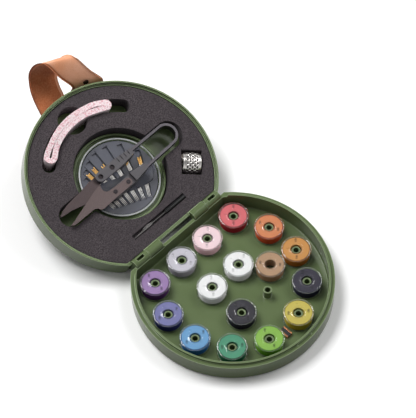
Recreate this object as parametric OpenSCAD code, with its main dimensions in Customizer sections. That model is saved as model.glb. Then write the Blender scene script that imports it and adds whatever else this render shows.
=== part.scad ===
// Round clamshell sewing kit: a bobbin tray and a fitted lid on a moulded snap-in hinge.
// Origin: centre of the tray's underside. +X along the hinge, +Y towards the lid, +Z up.

/* [Shell] */
// Outer radius of both halves
case_r = 67.5; // [64:0.5:72]
// Height of the tray's outer wall, up to the mating plane
base_h = 14; // [13:0.5:18]
// Depth of the lid, from its rim to its outer face
lid_h = 16.4; // [15.5:0.1:18]
// Thickness of the tray floor and the lid floor
floor_t = 1.8; // [1.4:0.1:2.4]
// Thickness of the straight walls beside the hinge
flat_t = 2.2; // [1.6:0.1:3]
// Thickness of the tray's curved wall, with its lip
base_wall = 3.8; // [3.2:0.1:4.6]
// Edge radius of the tray's underside
base_edge = 1.6; // [1:0.2:3]
// Edge radius of the lid's outer face beside the hinge
lid_edge = 6; // [4:0.5:8]
// Edge radius of the lid's outer face around its curved wall
lid_round = 2; // [1.6:0.2:4]
// Width of the tray's ledge outside its lip
ledge_w = 2.4; // [2:0.1:3]
// Thickness of the lid's rim outside the tray's lip
rim_t = 1; // [0.8:0.1:1.4]
// Height of the tray's lip above the mating plane
lip_h = 2; // [1.4:0.1:2.6]
// Gap between the tray's lip and the lid
lip_gap = 0.25; // [0.15:0.05:0.5]

/* [Hinge] */
// Distance from the tray's centre to the hinge axis
hinge_y = 53.2; // [50:0.2:56]
// Angle between the open halves
open_angle = 163.3; // [150:0.1:170]
// Distance from the hinge axis to each straight wall
flat_set = 1.7; // [1.2:0.1:2.4]
// Outer radius of the knuckles and barrels
knuckle_r = 3.5; // [3:0.1:4]
// Distance from the centre line to the inner end of a lid barrel
barrel_x = 14.8; // [12:0.2:18]
// Length of a lid barrel
barrel_len = 11.8; // [9:0.2:13]
// Length of a tray knuckle
knuckle_len = 12.2; // [10:0.2:13]
// Side gap between a barrel and its knuckle
knuckle_gap = 0.4; // [0.2:0.05:0.8]
// Radius of the stub pins
pin_r = 1.6; // [1.3:0.1:2]
// Length of the stub pins
pin_len = 2.8; // [2:0.2:4]
// Radial clearance of the stub pins
pin_gap = 0.05; // [0.02:0.01:0.1]
// Clearance between a knuckle and the wall notched around it
notch_gap = 0.4; // [0.3:0.05:0.8]
// Length and width of the window in a tray knuckle
window = [6, 2.4];
// Clearance between the lid and the stop webs when open
stop_gap = 0.1; // [0.05:0.05:0.3]

/* [Catch] */
// Length of the catch ridge on the lid
catch_len = 11.6; // [8:0.2:16]
// Height of the catch ridge from the lid's wall
catch_bite = 0.7; // [0.5:0.05:0.9]
// Width of the catch ridge along the lid's depth
catch_w = 0.8; // [0.6:0.1:1]
// Clearance around the closed catch
catch_gap = 0.1; // [0.05:0.05:0.2]

/* [Posts] */
// Outer radius of a bobbin post
post_r = 2.85; // [2.4:0.05:3]
// Radius of the hole in a post
post_bore = 1.95; // [1.4:0.05:2.2]
// Height of a post above the tray floor
post_h = 7.2; // [5:0.1:9]
// Radius of the arc of ten posts
arc_r = 49.1; // [47:0.1:51]
// Angle of the first post on the arc, from +X
arc_first = 15; // [14:0.5:17]
// Angle between posts on the arc
arc_step = 29.6; // [28.8:0.1:30.2]
// Distance of the row beside the hinge from the tray's centre
row_y = 35.7; // [35:0.1:37]
// Half spacing of the two middle posts in that row
row_x = 12; // [11:0.1:13]
// Gap between that row's outer bobbins and the tray's wall
row_room = 2.3; // [1:0.1:3]
// Half spacing and two rows of the four inner posts
inner_x = 12.3; // [11:0.1:14]
inner_y = [6.9, -20.3];

/* [Bobbin] */
// Radius of a bobbin's flanges
flange_r = 10.15; // [9.6:0.05:10.4]
// Height of a bobbin
bobbin_h = 9; // [7.5:0.1:9.6]
// Thickness of a flange
flange_t = 0.9; // [0.7:0.1:1.2]
// Outer radius of the hub
hub_r = 4.15; // [3.8:0.05:4.6]
// Radius of the bore
bobbin_bore = 3.25; // [3.1:0.05:3.5]
// Radius of the wound thread
thread_r = 9.3; // [8:0.1:9.5]
// Clearance between the thread and the bobbin
thread_gap = 0.02; // [0.01:0.01:0.05]
// Radius of the small holes in a flange and their distance from the bore's axis
dot_r = 0.75; // [0.5:0.05:1]
dot_at = 6.6; // [6:0.1:7.5]
// Where the loose bobbin lies on the tray floor
loose_at = [27, -8.2];

/* [Foam] */
// Depth of the foam's face below the lid's rim
foam_drop = 2.6; // [2.3:0.1:3]
// Gap between the foam and the lid's walls
foam_gap = 0.35; // [0.3:0.05:0.6]
// Width and reach of the snips' slot at the bow, from the lid's centre
bow_slot = [19.6, 53.8];
// Width and reach of the snips' slot at the blades
blade_slot = [16.2, 54.6];
// Gap between the needle case's locating ring and the round opening in the foam
well_gap = 1.15; // [0.6:0.05:2]
// Radius and width of the curved slot for the tape measure
tape_slot_r = 49; // [48:0.1:50]
tape_slot_w = 9.3; // [9.2:0.1:10.5]
// Half angle of the curved slot, to the middle of its round end
tape_slot_a = 44.5; // [40:0.5:48]
// Radius of the finger hole across the curved slot
finger_r = 10; // [9:0.1:11]

/* [Tape measure] */
// Width of the folded tape, on edge
tape_w = 15; // [12:0.5:15]
// Thickness of the folded tape
tape_t = 8.6; // [7:0.1:8.6]
// Gap between the folded tape's layers
tape_fold = 0.5; // [0.3:0.1:1]
// Angles of the two ends of the folded tape, from the lid's centre line
tape_a = [-38, 30];

/* [Needle case] */
// Outer radius of the needle case
needle_case_r = 28.85; // [28:0.05:29.5]
// Height of the needle case
needle_case_h = 7.6; // [7:0.1:8]
// Wall of the case cup and of its cover
cup_t = 1; // [0.8:0.05:1.2]
// Running gap between the cup and its turning cover
cup_gap = 0.35; // [0.3:0.05:0.5]
// Thickness of the grooved insert
insert_t = 3; // [2:0.1:3.4]
// Radius and depth of the shallow panel in the cover
panel = [25.4, 0.3];
// Width of the cover's notch for taking out a needle
cover_notch = 4; // [3:0.5:8]
// Height and thickness of the ring that locates the case in the lid
ring_h = 10.6; // [8:0.1:11]
ring_t = 1.1; // [0.8:0.1:1.4]
// Gap between the case and the locating ring
ring_gap = 1.6; // [0.5:0.1:1.7]
// Number and width of the needle grooves
groove_n = 7; // [5:1:7]
groove_w = 3.4; // [3:0.1:3.6]
// Low end of the first groove and the step to the next, from the case's centre
groove_first = [-17.2, -14.2];
groove_step = [4, -1.5];
// Direction of the first groove and how fast the rest lean over
groove_angle = 94; // [90:1:96]
groove_lean = 0.9; // [0.7:0.1:1.1]
// Radius of a needle and its depth below the insert's face
needle_r = 0.42; // [0.3:0.02:0.5]
needle_sunk = 0.3; // [0.1:0.1:0.6]
// Distance between the three needles in a groove
needle_pitch = 0.92; // [0.86:0.02:1.1]
// Longest needle
needle_l = 34; // [28:1:38]

/* [Snips] */
// Place of the bow's centre, along the slot and across it from the lid's centre
snips_at = [41.8, 0.4];
// Thickness and height of the bow's strip
bow_t = 1.8; // [1.4:0.1:2.2]
bow_w = 6; // [4:0.2:6.2]
// Radius of the bow's outer face
bow_r = 8.05; // [7.6:0.05:8.4]
// Height of the strip's upper edge above the lid's rim plane
bow_rise = 1; // [0:0.1:1.4]
// Distance from the bow's centre to the end of each arm's strip
arm_l = 38.6; // [34:0.2:39]
// Angle by which the lower arm leans away from the upper one
arm_lean = 2.1; // [0:0.1:3]
// Half width of a grip's head
grip_r = 3.5; // [3:0.1:3.6]
// Distances from the bow's centre to a grip's neck, its head and its end's centre
grip_at = [26.2, 38.8, 55.9];
// Width of a grip at its neck
grip_neck = 4.2; // [3.4:0.1:4.6]
// Distance from the bow's centre line to the middle of a grip's head
grip_mid = 6.2; // [5.8:0.1:6.8]
// Height of the upper grip's face above the lid's rim plane
grip_rise = 1.5; // [1:0.1:1.6]
// Radius and depth of the holes in the upper grip
grip_hole = [1.8, 1.6];
// Distance between the two screws in the upper grip
screw_pitch = 10.6; // [8:0.1:11]
// Number of ridges on the upper grip, and the step between them
ridge_n = 4; // [3:1:6]
ridge_step = 3.1; // [2.6:0.1:3.4]
// Thickness of a blade
blade_t = 1.8; // [1.2:0.1:1.8]
// Height of the lower blade's face above the lid's rim plane
blade_rise = 0.6; // [0.2:0.1:0.9]
// Clearance between the two blades
blade_gap = 0.1; // [0.05:0.05:0.3]
// Radius of a rivet's or screw's shank
shank_r = 0.9; // [0.7:0.1:1.1]
// Radius of the rivets' heads on the lower blade
rivet_head = 1.5; // [1.2:0.1:1.8]

/* [Small tools] */
// Outer radius of the thimble at its middle
thimble_r = 7.6; // [7.2:0.1:7.8]
// Outer radius of the thimble at both ends
thimble_end_r = 6.9; // [6.2:0.1:7.1]
// Length of the thimble
thimble_l = 12.6; // [11:0.2:15]
// Wall of the thimble
thimble_t = 0.7; // [0.5:0.1:1]
// Radius of the thimble's rolled edge
thimble_rim = 0.5; // [0.3:0.1:0.6]
// Centre of the thimble, along the hinge and from its axis
thimble_at = [43.4, 29];
// Direction of the thimble's axis
thimble_turn = -42; // [-50:1:-30]
// Gaps between the thimble and its pocket, at its ends and at its sides
thimble_room = [0.8, 1.9];
// Width of the seam ripper's handle
ripper_w = 3.2; // [3:0.1:4]
// Length of the handle, and of the blade that stands out of it
ripper_handle_l = 17.8; // [16:0.2:24]
ripper_blade_l = 29; // [22:0.5:30]
// Radius of the blade's shank and its length inside the handle
ripper_shank = [0.65, 5];
// End of the handle along the hinge, and its distance from the hinge axis
ripper_at = [22.3, 14.5];

/* [Magnet] */
// Inner width, length and height of the pin magnet
magnet = [2.6, 7.2, 1.7];
// Wall of its channel
channel_t = 1.1; // [0.6:0.1:1.2]
// Distance of the magnet from the tray's centre
magnet_y = 48.9; // [47:0.1:52]

/* [Strap] */
// Width of the leather strap
strap_w = 22; // [16:1:24]
// Thickness of the leather
strap_t = 2; // [1.6:0.1:2]
// Gap between the strap and the lid
strap_gap = 0.6; // [0.4:0.05:1]
// Head radius of the strap's rivets
rivet_r = 2; // [1.6:0.1:2.6]
// Thickness of a rivet's head
rivet_t = 0.7; // [0.5:0.1:1]
// How far a rivet's shank goes into the lid
rivet_deep = 1.2; // [0.8:0.1:1.3]

/* [Hidden] */
$fn = 64;
// Seated bobbins' places: the arc on the right, its mirror image, the hinge row, the inner four.
function arc_post(i, side) =
    [side * arc_r * cos(arc_first - arc_step * i), arc_r * sin(arc_first - arc_step * i)];
arc_posts = [for (side = [1, -1]) for (i = [0:3]) arc_post(i, side)];
row_outer = sqrt(pow(case_r - base_wall - flange_r - row_room, 2) - row_y * row_y);
row_posts = [for (x = [row_x, row_outer]) for (side = [1, -1]) [side * x, row_y]];
inner_posts = [for (y = inner_y) for (side = [-1, 1]) [side * inner_x, y]];
post_places = concat(arc_posts, row_posts, inner_posts);
post_count = len(post_places);
// The last post stands empty and its bobbin lies loose on the tray floor.
bobbin_places = [for (i = [0:post_count - 1]) i < post_count - 1 ? post_places[i] : loose_at];
thread_colors = ["orange", "gold", "indigo", "khaki", "cornflowerblue", "deepskyblue", "seagreen",
    "yellowgreen", "pink", "silver", "crimson", "mediumpurple", "white", "white", "midnightblue",
    "tan"];
function two_digits(i) = str(i < 10 ? "0" : "", i);
bobbin_names = [for (i = [1:post_count]) str("bobbin_", two_digits(i))];
thread_names = [for (i = [1:post_count]) str("thread_", two_digits(i))];

eps = 0.01;
// Clearances: around a shank in its hole, between faces that touch, and under a loose piece.
fit = 0.05;
film = 0.02;
rest_gap = 0.1;
hinge_z = base_h;
lid_tilt = 180 - open_angle;
flat_y = hinge_y - flat_set;
centre_v = hinge_y;
rim_in = case_r - ledge_w;
lip_out = rim_in - lip_gap;
lid_r = rim_in + rim_t;
lip_in = case_r - base_wall;
knuckle_x = barrel_x + barrel_len + knuckle_gap;
lid_floor = -lid_h + floor_t;
foam_top = -foam_drop;
foam_r = lip_in - foam_gap;
foam_v = flat_set + flat_t + foam_gap;
ring_r = needle_case_r + ring_gap;
well_r = ring_r + ring_t + well_gap;
needle_case_top = lid_floor + needle_case_h;
insert_r = needle_case_r - 2 * cup_t - cup_gap - 0.2;
ripper_x0 = ripper_at[0] - ripper_handle_l;
// The grips rest on the needle case's shallow panel.
grip_low = needle_case_top - panel[1] + rest_gap;
upper_blade_top = blade_rise - blade_t - blade_gap;
screw_x = [grip_at[2], grip_at[2] - screw_pitch];
green = "#7d9468";

// ---- placing ----

// Moves children from the lid's frame to the part's: its origin is on the hinge axis, its Y runs
// to the lid's far side and its Z is the inner face's normal.
module in_lid() {
    translate([0, hinge_y, hinge_z]) rotate([lid_tilt, 0, 0]) children();
}

// Moves children from the part's frame to the lid's.
module from_lid() {
    rotate([-lid_tilt, 0, 0]) translate([0, -hinge_y, -hinge_z]) children();
}

// Moves children to the middle of the lid's circle, at height w in the lid's frame.
module at_lid_centre(w) {
    translate([0, centre_v, w]) children();
}

// ---- shell forms ----

// Half section of a disc with a round lower edge.
module edged_section(r, h, edge) {
    square([r - edge, h]);
    translate([0, edge]) square([r, h - edge]);
    translate([r - edge, edge]) circle(edge);
}

// A disc with a round lower edge, cut off straight at y = cut and rounded there by cut_edge.
module cut_disc(r, h, edge, cut, cut_edge) {
    intersection() {
        rotate_extrude($fn = 128) intersection() {
            edged_section(r, h, edge);
            square([r + 1, h]);
        }
        translate([-r - 1, cut - 2 * r, 0]) rotate([90, 0, 90]) linear_extrude(2 * r + 2)
            edged_section(2 * r, h, cut_edge);
    }
}

// Flat outline of a disc cut off straight at y = cut.
module cut_circle(r, cut) {
    intersection() {
        circle(r, $fn = 128);
        translate([-r - 1, -r - 1]) square([2 * r + 2, cut + r + 1]);
    }
}

// A cylinder along X, centred on the hinge axis, from x0 with length l.
module hinge_cylinder(r, x0, l) {
    translate([x0, 0, 0]) rotate([0, 90, 0]) cylinder(r = r, h = l);
}

module both_sides() {
    children();
    mirror([1, 0, 0]) children();
}

// Outline of a curved slot of width w on radius r, from angle a0 to a1 measured from +Y.
module arc_slot(r, w, a0, a1) {
    reach = 2 * r;
    intersection() {
        difference() {
            circle(r + w / 2, $fn = 128);
            circle(r - w / 2, $fn = 128);
        }
        polygon([[0, 0], for (k = [0:4]) let (a = 90 - a0 - (a1 - a0) * k / 4)
            [reach * cos(a), reach * sin(a)]]);
    }
    for (a = [a0, a1]) rotate(-a) translate([0, r]) circle(w / 2 - film);
}

// ---- tray ----

// Knuckle with a web down to the tray's wall; the web's back is the stop for the open lid.
module tray_knuckle() {
    web_low = base_h * 0.3;
    web_in = 0.3;
    web_l = knuckle_len - 2 * web_in;
    hinge_cylinder(knuckle_r, knuckle_x, knuckle_len);
    intersection() {
        translate([knuckle_x + web_in, -flat_set - flat_t / 2, -base_h + web_low])
            cube([web_l, 3 * knuckle_r, base_h - web_low]);
        rotate([lid_tilt, 0, 0]) translate([knuckle_x, -2 * base_h, -2 * base_h])
            cube([knuckle_len, 2 * base_h + flat_set - stop_gap, 2 * base_h]);
    }
}

module knuckle_cuts() {
    hinge_cylinder(pin_r + pin_gap, knuckle_x - 1, knuckle_len - 1);
    translate([knuckle_x + (knuckle_len - window[0]) / 2, -window[1] / 2, 0])
        cube([window[0], window[1], knuckle_r + 1]);
}

module posts() {
    for (p = post_places) translate([p[0], p[1], floor_t - eps]) cylinder(r = post_r, h = post_h + eps);
}

module post_bores() {
    for (p = post_places) translate([p[0], p[1], floor_t]) cylinder(r = post_bore, h = post_h + 1);
}

// Lip along the curved wall, with a groove for the lid's catch ridge between two bridges.
module tray_lip() {
    lip_stop = flat_y - flat_t - 2;
    difference() {
        translate([0, 0, base_h - 1]) linear_extrude(lip_h + 1) difference() {
            cut_circle(lip_out, lip_stop);
            circle(lip_in, $fn = 128);
        }
        intersection() {
            translate([0, 0, base_h + lip_h / 2]) rotate_extrude($fn = 128)
                translate([lip_out - catch_bite + lip_gap - catch_gap, -catch_w / 2 - catch_gap])
                square([2, catch_w + 2 * catch_gap]);
            translate([-catch_len / 2 - catch_gap, -case_r - 1, 0])
                cube([catch_len + 2 * catch_gap, case_r, 2 * base_h]);
        }
    }
    lip_bridges(0);
}

// Small bars on the ledge at both ends of the catch, made larger by the given gap.
module lip_bridges(gap) {
    bar = [0.9, ledge_w / 2, 0.6];
    low = -lip_out - bar[1] * 0.9 - gap;
    both_sides() translate([catch_len / 2 + catch_gap - gap, low, base_h - eps])
        cube([bar[0] + 2 * gap, bar[1] + 2 * gap, bar[2] + gap]);
}

module base_tray() {
    color(green) difference() {
        union() {
            difference() {
                cut_disc(case_r, base_h, base_edge, flat_y, base_edge);
                translate([0, 0, floor_t])
                    cut_disc(lip_in, base_h + lip_h, base_edge / 2, flat_y - flat_t, base_edge / 2);
            }
            tray_lip();
            posts();
            translate([0, hinge_y, hinge_z]) both_sides() tray_knuckle();
        }
        post_bores();
        translate([0, hinge_y, hinge_z]) both_sides() {
            hinge_cylinder(knuckle_r + notch_gap, barrel_x - knuckle_gap,
                barrel_len + 2 * knuckle_gap);
            knuckle_cuts();
        }
    }
}

module magnet_channel() {
    outer = [magnet[0] + 2 * channel_t, magnet[1], magnet[2] + channel_t / 2];
    color("peru") translate([-outer[0] / 2, -magnet_y - outer[1] / 2, floor_t]) difference() {
        cube(outer);
        translate([channel_t, -1, channel_t / 2]) cube([magnet[0], outer[1] + 2, outer[2]]);
    }
}

module pin_magnet() {
    color("#222222") translate([-magnet[0] / 2, -magnet_y - magnet[1] / 2, floor_t + channel_t / 2])
        cube([magnet[0], magnet[1], magnet[2]]);
}

// ---- bobbins ----

// One-piece bobbin: two flanges, each with two small holes and a thread slot, on a bored hub.
module bobbin(place) {
    slot_l_flange = 2.4;
    color("gainsboro") translate([place[0], place[1], floor_t]) difference() {
        union() {
            cylinder(r = hub_r, h = bobbin_h);
            for (z = [0, bobbin_h - flange_t]) translate([0, 0, z]) cylinder(r = flange_r, h = flange_t);
        }
        translate([0, 0, -1]) cylinder(r = bobbin_bore, h = bobbin_h + 2);
        for (side = [-1, 1]) translate([side * dot_at, 0, -1]) cylinder(r = dot_r, h = bobbin_h + 2);
        translate([-dot_r / 2, hub_r, bobbin_h - flange_t - eps])
            cube([dot_r, slot_l_flange, flange_t + 1]);
    }
}

module thread(place, tint) {
    low = flange_t + thread_gap;
    color(tint) translate([place[0], place[1], floor_t + low]) difference() {
        cylinder(r = thread_r, h = bobbin_h - 2 * low);
        translate([0, 0, -1]) cylinder(r = hub_r + thread_gap, h = bobbin_h);
    }
}

// ---- lid ----

module lid_barrel() {
    hinge_cylinder(knuckle_r, barrel_x, barrel_len);
    translate([barrel_x, 0, -knuckle_r]) cube([barrel_len, flat_set + flat_t / 2, knuckle_r]);
    hinge_cylinder(pin_r, barrel_x + barrel_len - eps, knuckle_gap + pin_len);
}

// Ring on the lid floor that keeps the needle case in place; the snips' slot passes through it.
module locating_ring() {
    at_lid_centre(lid_floor - eps) difference() {
        cylinder(r = ring_r + ring_t, h = ring_h, $fn = 128);
        translate([0, 0, -1]) cylinder(r = ring_r, h = ring_h + 2, $fn = 128);
        translate([-case_r, -bow_slot[0] / 2 - 0.5, 1]) cube([2 * case_r, bow_slot[0] + 1, ring_h]);
    }
}

module catch_ridge() {
    at_lid_centre(-lip_h / 2) intersection() {
        rotate_extrude($fn = 128) translate([rim_in - catch_bite, -catch_w / 2])
            square([catch_bite + eps, catch_w]);
        translate([-catch_len / 2, 0, -lip_h]) cube([catch_len, case_r, 2 * lip_h]);
    }
}

module lid_shell() {
    color(green) in_lid() difference() {
        union() {
            difference() {
                at_lid_centre(-lid_h) mirror([0, 1, 0])
                    cut_disc(lid_r, lid_h - film, lid_round, centre_v - flat_set, lid_edge);
                at_lid_centre(lid_floor) mirror([0, 1, 0])
                    cut_disc(lip_in, lid_h, lid_round / 2, centre_v - flat_set - flat_t, lid_edge / 2);
                at_lid_centre(-lip_h - lip_gap) mirror([0, 1, 0]) linear_extrude(lid_h)
                    cut_circle(rim_in, centre_v - flat_set - flat_t);
            }
            both_sides() lid_barrel();
            locating_ring();
            catch_ridge();
        }
        both_sides() hinge_cylinder(knuckle_r + notch_gap, knuckle_x - knuckle_gap / 2,
            knuckle_len + knuckle_gap);
        mirror([0, 1, 0]) translate([0, -hinge_y, 0]) mirror([0, 0, 1]) translate([0, 0, -base_h])
            lip_bridges(2 * catch_gap);
        from_lid() strap_rivet_holes();
    }
}

module foam_pockets() {
    circle(well_r, $fn = 128);
    for (slot = [[bow_slot, 1], [blade_slot, -1]]) {
        half_w = slot[0][0] / 2;
        reach = slot[0][1] - half_w;
        translate([slot[1] * reach, 0]) circle(half_w);
        translate([slot[1] > 0 ? 0 : -reach, -half_w]) square([reach, 2 * half_w]);
    }
    arc_slot(tape_slot_r, tape_slot_w, -tape_slot_a, tape_slot_a);
    translate([0, tape_slot_r]) circle(finger_r);
    translate([thimble_at[0], thimble_at[1] - centre_v]) rotate(thimble_turn)
        square(2 * [thimble_l / 2 + thimble_room[0], thimble_r + thimble_room[1]], center = true);
}

// Straight pocket for the seam ripper, cut to half of the foam's depth.
module ripper_pocket() {
    room = 0.4;
    handle_l = ripper_handle_l + 2 * room;
    translate([ripper_x0 - room, ripper_at[1] - ripper_w / 2 - room, foam_top - ripper_w])
        cube([handle_l, ripper_w + 2 * room, 2 * ripper_w]);
    translate([ripper_x0 - ripper_blade_l - room, ripper_at[1] - 1.4 - room, foam_top - ripper_w])
        cube([ripper_blade_l + 2 * room, 2.8 + 2 * room, 2 * ripper_w]);
}

module foam_insert() {
    thick = foam_top - lid_floor;
    color("#3a373a") in_lid() difference() {
        at_lid_centre(lid_floor) linear_extrude(thick) difference() {
            mirror([0, 1]) cut_circle(foam_r, centre_v - foam_v);
            foam_pockets();
        }
        foam_edge_relief();
        ripper_pocket();
    }
}

// Clears the round inner edges of the lid's floor.
module foam_edge_relief() {
    around = lid_round / 2;
    beside = lid_edge / 2;
    at_lid_centre(lid_floor - 1) difference() {
        cylinder(r = case_r, h = around + 1);
        translate([0, 0, -1]) cylinder(r = foam_r - around, h = around + 3, $fn = 128);
    }
    translate([-case_r, 0, lid_floor - 1]) cube([2 * case_r, foam_v + beside, beside + 1]);
}

// ---- tools in the lid ----

module tape_measure() {
    color("mistyrose") in_lid() at_lid_centre(lid_floor) linear_extrude(tape_w) difference() {
        arc_slot(tape_slot_r, tape_t, tape_a[0], tape_a[1]);
        arc_slot(tape_slot_r, tape_fold, tape_a[0] - 1, tape_a[1] - 3);
    }
}

// Distance from point p, along angle a, to a circle of radius r.
function run_out(p, a, r) =
    let (b = p[0] * cos(a) + p[1] * sin(a), c = p * p - r * r)
    -b + sqrt(b * b - c);
function groove_low(k) = groove_first + k * groove_step;
function groove_dir(k) = groove_angle - groove_lean * k * k;

module needle_case_base() {
    color("lightgray") in_lid() at_lid_centre(lid_floor) difference() {
        cylinder(r = needle_case_r - cup_t - cup_gap, h = needle_case_h - cup_t - cup_gap, $fn = 128);
        translate([0, 0, cup_t])
            cylinder(r = needle_case_r - 2 * cup_t - cup_gap, h = needle_case_h, $fn = 128);
    }
}

module needle_insert() {
    low = insert_t - 2 * needle_r - needle_sunk;
    color("#4a4c56") in_lid() at_lid_centre(lid_floor + cup_t) difference() {
        cylinder(r = insert_r, h = insert_t, $fn = 128);
        for (k = [0:groove_n - 1]) translate([groove_low(k)[0], groove_low(k)[1], low])
            rotate(groove_dir(k)) translate([-1, -groove_w / 2, 0])
            cube([run_out(groove_low(k), groove_dir(k), insert_r - 1.6), groove_w, insert_t]);
    }
}

module needles() {
    rest = lid_floor + cup_t + insert_t - needle_r - needle_sunk + film;
    color("silver") in_lid() at_lid_centre(rest) for (k = [0:groove_n - 1]) for (i = [-1:1])
        translate([groove_low(k)[0], groove_low(k)[1], 0]) rotate(groove_dir(k))
        translate([0, i * needle_pitch, 0]) rotate([0, 90, 0])
        cylinder(r = needle_r, $fn = 16,
            h = min(needle_l, run_out(groove_low(k), groove_dir(k), insert_r - 3.4)));
}

// Clear cover over the cup, with a shallow panel and a notch for taking out a needle.
module needle_case_cover() {
    notch_a = -110;
    color("whitesmoke") in_lid() at_lid_centre(lid_floor) difference() {
        translate([0, 0, cup_t]) cylinder(r = needle_case_r, h = needle_case_h - cup_t, $fn = 128);
        cylinder(r = needle_case_r - cup_t, h = needle_case_h - cup_t, $fn = 128);
        translate([0, 0, needle_case_h - panel[1]]) cylinder(r = panel[0], h = 1, $fn = 128);
        rotate(notch_a) translate([panel[0] + 0.6, -cover_notch / 2, 0])
            cube([needle_case_r, cover_notch, needle_case_h + 1]);
    }
}

// Origin at the bow's centre, in the lid's rim plane; the arms run along -X.
module snips_frame() {
    in_lid() translate([snips_at[0], centre_v + snips_at[1], 0]) children();
}

// Upper half of the bow's strip: a straight arm and a quarter turn to the bow's middle.
module bow_half() {
    translate([0, 0, bow_rise - bow_w]) linear_extrude(bow_w) {
        intersection() {
            difference() {
                circle(bow_r);
                circle(bow_r - bow_t);
            }
            square(bow_r + 1);
        }
        translate([-arm_l, bow_r - bow_t]) square([arm_l + eps, bow_t]);
    }
}

module snips_bow() {
    color("#3c3c40") snips_frame() bow_half();
}

module snips_arm() {
    color("#3c3c40") snips_frame() difference() {
        rotate(arm_lean) mirror([0, 1, 0]) bow_half();
        translate([0, -fit, -bow_w]) cube([2 * bow_r, bow_r, 3 * bow_w]);
    }
}

// Outline of a grip: a round-ended head that narrows to a neck.
module grip_outline() {
    neck_high = bow_r + 0.4;
    translate([-grip_at[2], grip_mid]) circle(grip_r);
    polygon([[-grip_at[2], grip_mid - grip_r], [-grip_at[1], grip_mid - grip_r],
        [-grip_at[0], neck_high - grip_neck], [-grip_at[0], neck_high],
        [-grip_at[1], grip_mid + grip_r], [-grip_at[2], grip_mid + grip_r]]);
}

// A grip's neck, moulded around the end of the strip; its head is low beside a blade.
module grip_body(top, head_low, head_top, ridges) {
    tall = top - grip_low;
    difference() {
        intersection() {
            translate([0, 0, grip_low]) linear_extrude(tall) grip_outline();
            union() {
                translate([-grip_at[1], -bow_r, grip_low - 1])
                    cube([2 * grip_at[1], 4 * bow_r, tall + 2]);
                translate([-2 * grip_at[2], -bow_r, head_low])
                    cube([2 * grip_at[2] - grip_at[1] + eps, 4 * bow_r, head_top - head_low]);
            }
        }
        translate([-arm_l - fit, bow_r - bow_t - fit, bow_rise - bow_w - fit])
            cube([arm_l + 2 * fit, bow_t + 2 * fit, bow_w + 2 * fit]);
        for (k = [0:ridges - 1]) translate([-grip_at[1] - 0.6 + ridge_step * k, bow_r - 2.6, top - 0.5])
            cube([1, 6, 1]);
    }
}

module snips_grip_upper() {
    color("#2f2f33") snips_frame() difference() {
        grip_body(grip_rise, upper_blade_top + film, grip_rise, ridge_n);
        for (x = screw_x) translate([-x, grip_mid, 0]) {
            translate([0, 0, grip_rise - grip_hole[1]]) cylinder(r = grip_hole[0], h = grip_rise + 1);
            translate([0, 0, upper_blade_top - 1]) cylinder(r = shank_r + fit, h = grip_rise + 4);
        }
    }
}

module snips_grip_lower() {
    seat = blade_rise - blade_t - film;
    color("#2f2f33") snips_frame() difference() {
        rotate(arm_lean) mirror([0, 1, 0]) grip_body(bow_rise + 0.3, grip_low, seat, 0);
        tang_rivets(shank_r + fit);
    }
}

module snips_blade_upper() {
    color("#4a484c") snips_frame() difference() {
        translate([0, 0, upper_blade_top - blade_t]) linear_extrude(blade_t)
            polygon([[-41.3, 8.6], [-58.8, 9], [-65.8, 8.6], [-73.8, 7.4], [-79.8, 7.1],
                [-86.7, 6.2], [-91.2, 5.1], [-94.4, 3.7], [-95.4, 2.6], [-91, 2], [-86, 1.4],
                [-75.9, -1.2], [-63.8, -2], [-60.3, 0.9], [-58.6, 3.3], [-41.3, 3.6]]);
        for (x = screw_x) translate([-x, grip_mid, -2 * bow_w])
            cylinder(r = shank_r + fit, h = 3 * bow_w);
    }
}

// Places of the two rivets, the first at the rounded end of the tang; their depth in the grip.
rivet_spots = [[-43.4, -8.2], [-55, -7.8]];
rivet_sunk = 2.5;

// Shanks of the two rivets that hold the lower blade's tang.
module tang_rivets(r) {
    for (p = rivet_spots) translate([p[0], p[1], blade_rise - blade_t - rivet_sunk])
        cylinder(r = r, h = rivet_sunk + blade_t + fit);
}

module snips_blade_lower() {
    color("#5a5052") snips_frame() difference() {
        translate([0, 0, blade_rise - blade_t]) linear_extrude(blade_t) difference() {
            union() {
                translate(rivet_spots[0]) circle(2.75);
                polygon([[-43.4, -5.45], [-57.4, -4.6], [-60.6, 2.2], [-61.4, 2.2], [-63.3, 2.1],
                    [-68.2, 1], [-78.6, -2], [-90, -5.3], [-94.7, -6.4], [-92, -7.7],
                    [-74.4, -7.8], [-72.2, -9], [-71.4, -11], [-68.8, -11.7], [-57.8, -11.2],
                    [-43.4, -10.95]]);
            }
            translate([-57.4, -1]) circle(3.6);
        }
        tang_rivets(shank_r + fit);
    }
}

module snips_rivets() {
    color("#1c1c1e") snips_frame() {
        tang_rivets(shank_r);
        for (p = rivet_spots) translate([p[0], p[1], blade_rise + film]) cylinder(r = rivet_head, h = 0.3);
    }
}

// Two screws in the upper grip's holes, with heads below its face.
module snips_screws() {
    head_low = grip_rise - grip_hole[1] + film;
    color("#1c1c1e") snips_frame() for (x = screw_x) translate([-x, grip_mid, 0]) {
        translate([0, 0, upper_blade_top - blade_t])
            cylinder(r = shank_r, h = head_low - upper_blade_top + blade_t + fit);
        translate([0, 0, head_low]) cylinder(r = grip_hole[0] - 0.2, h = grip_hole[1] * 0.4);
    }
}

// Half section of the thimble's barrel, smaller by inset and longer by extra at both ends.
module barrel_section(inset, extra) {
    bulge = thimble_r - thimble_end_r;
    arc = (thimble_l * thimble_l / 4 + bulge * bulge) / (2 * bulge);
    half = thimble_l / 2 + extra;
    intersection() {
        translate([thimble_r - arc, 0]) circle(arc - inset, $fn = 256);
        translate([0, -half]) square([2 * thimble_r, 2 * half]);
    }
}

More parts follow.
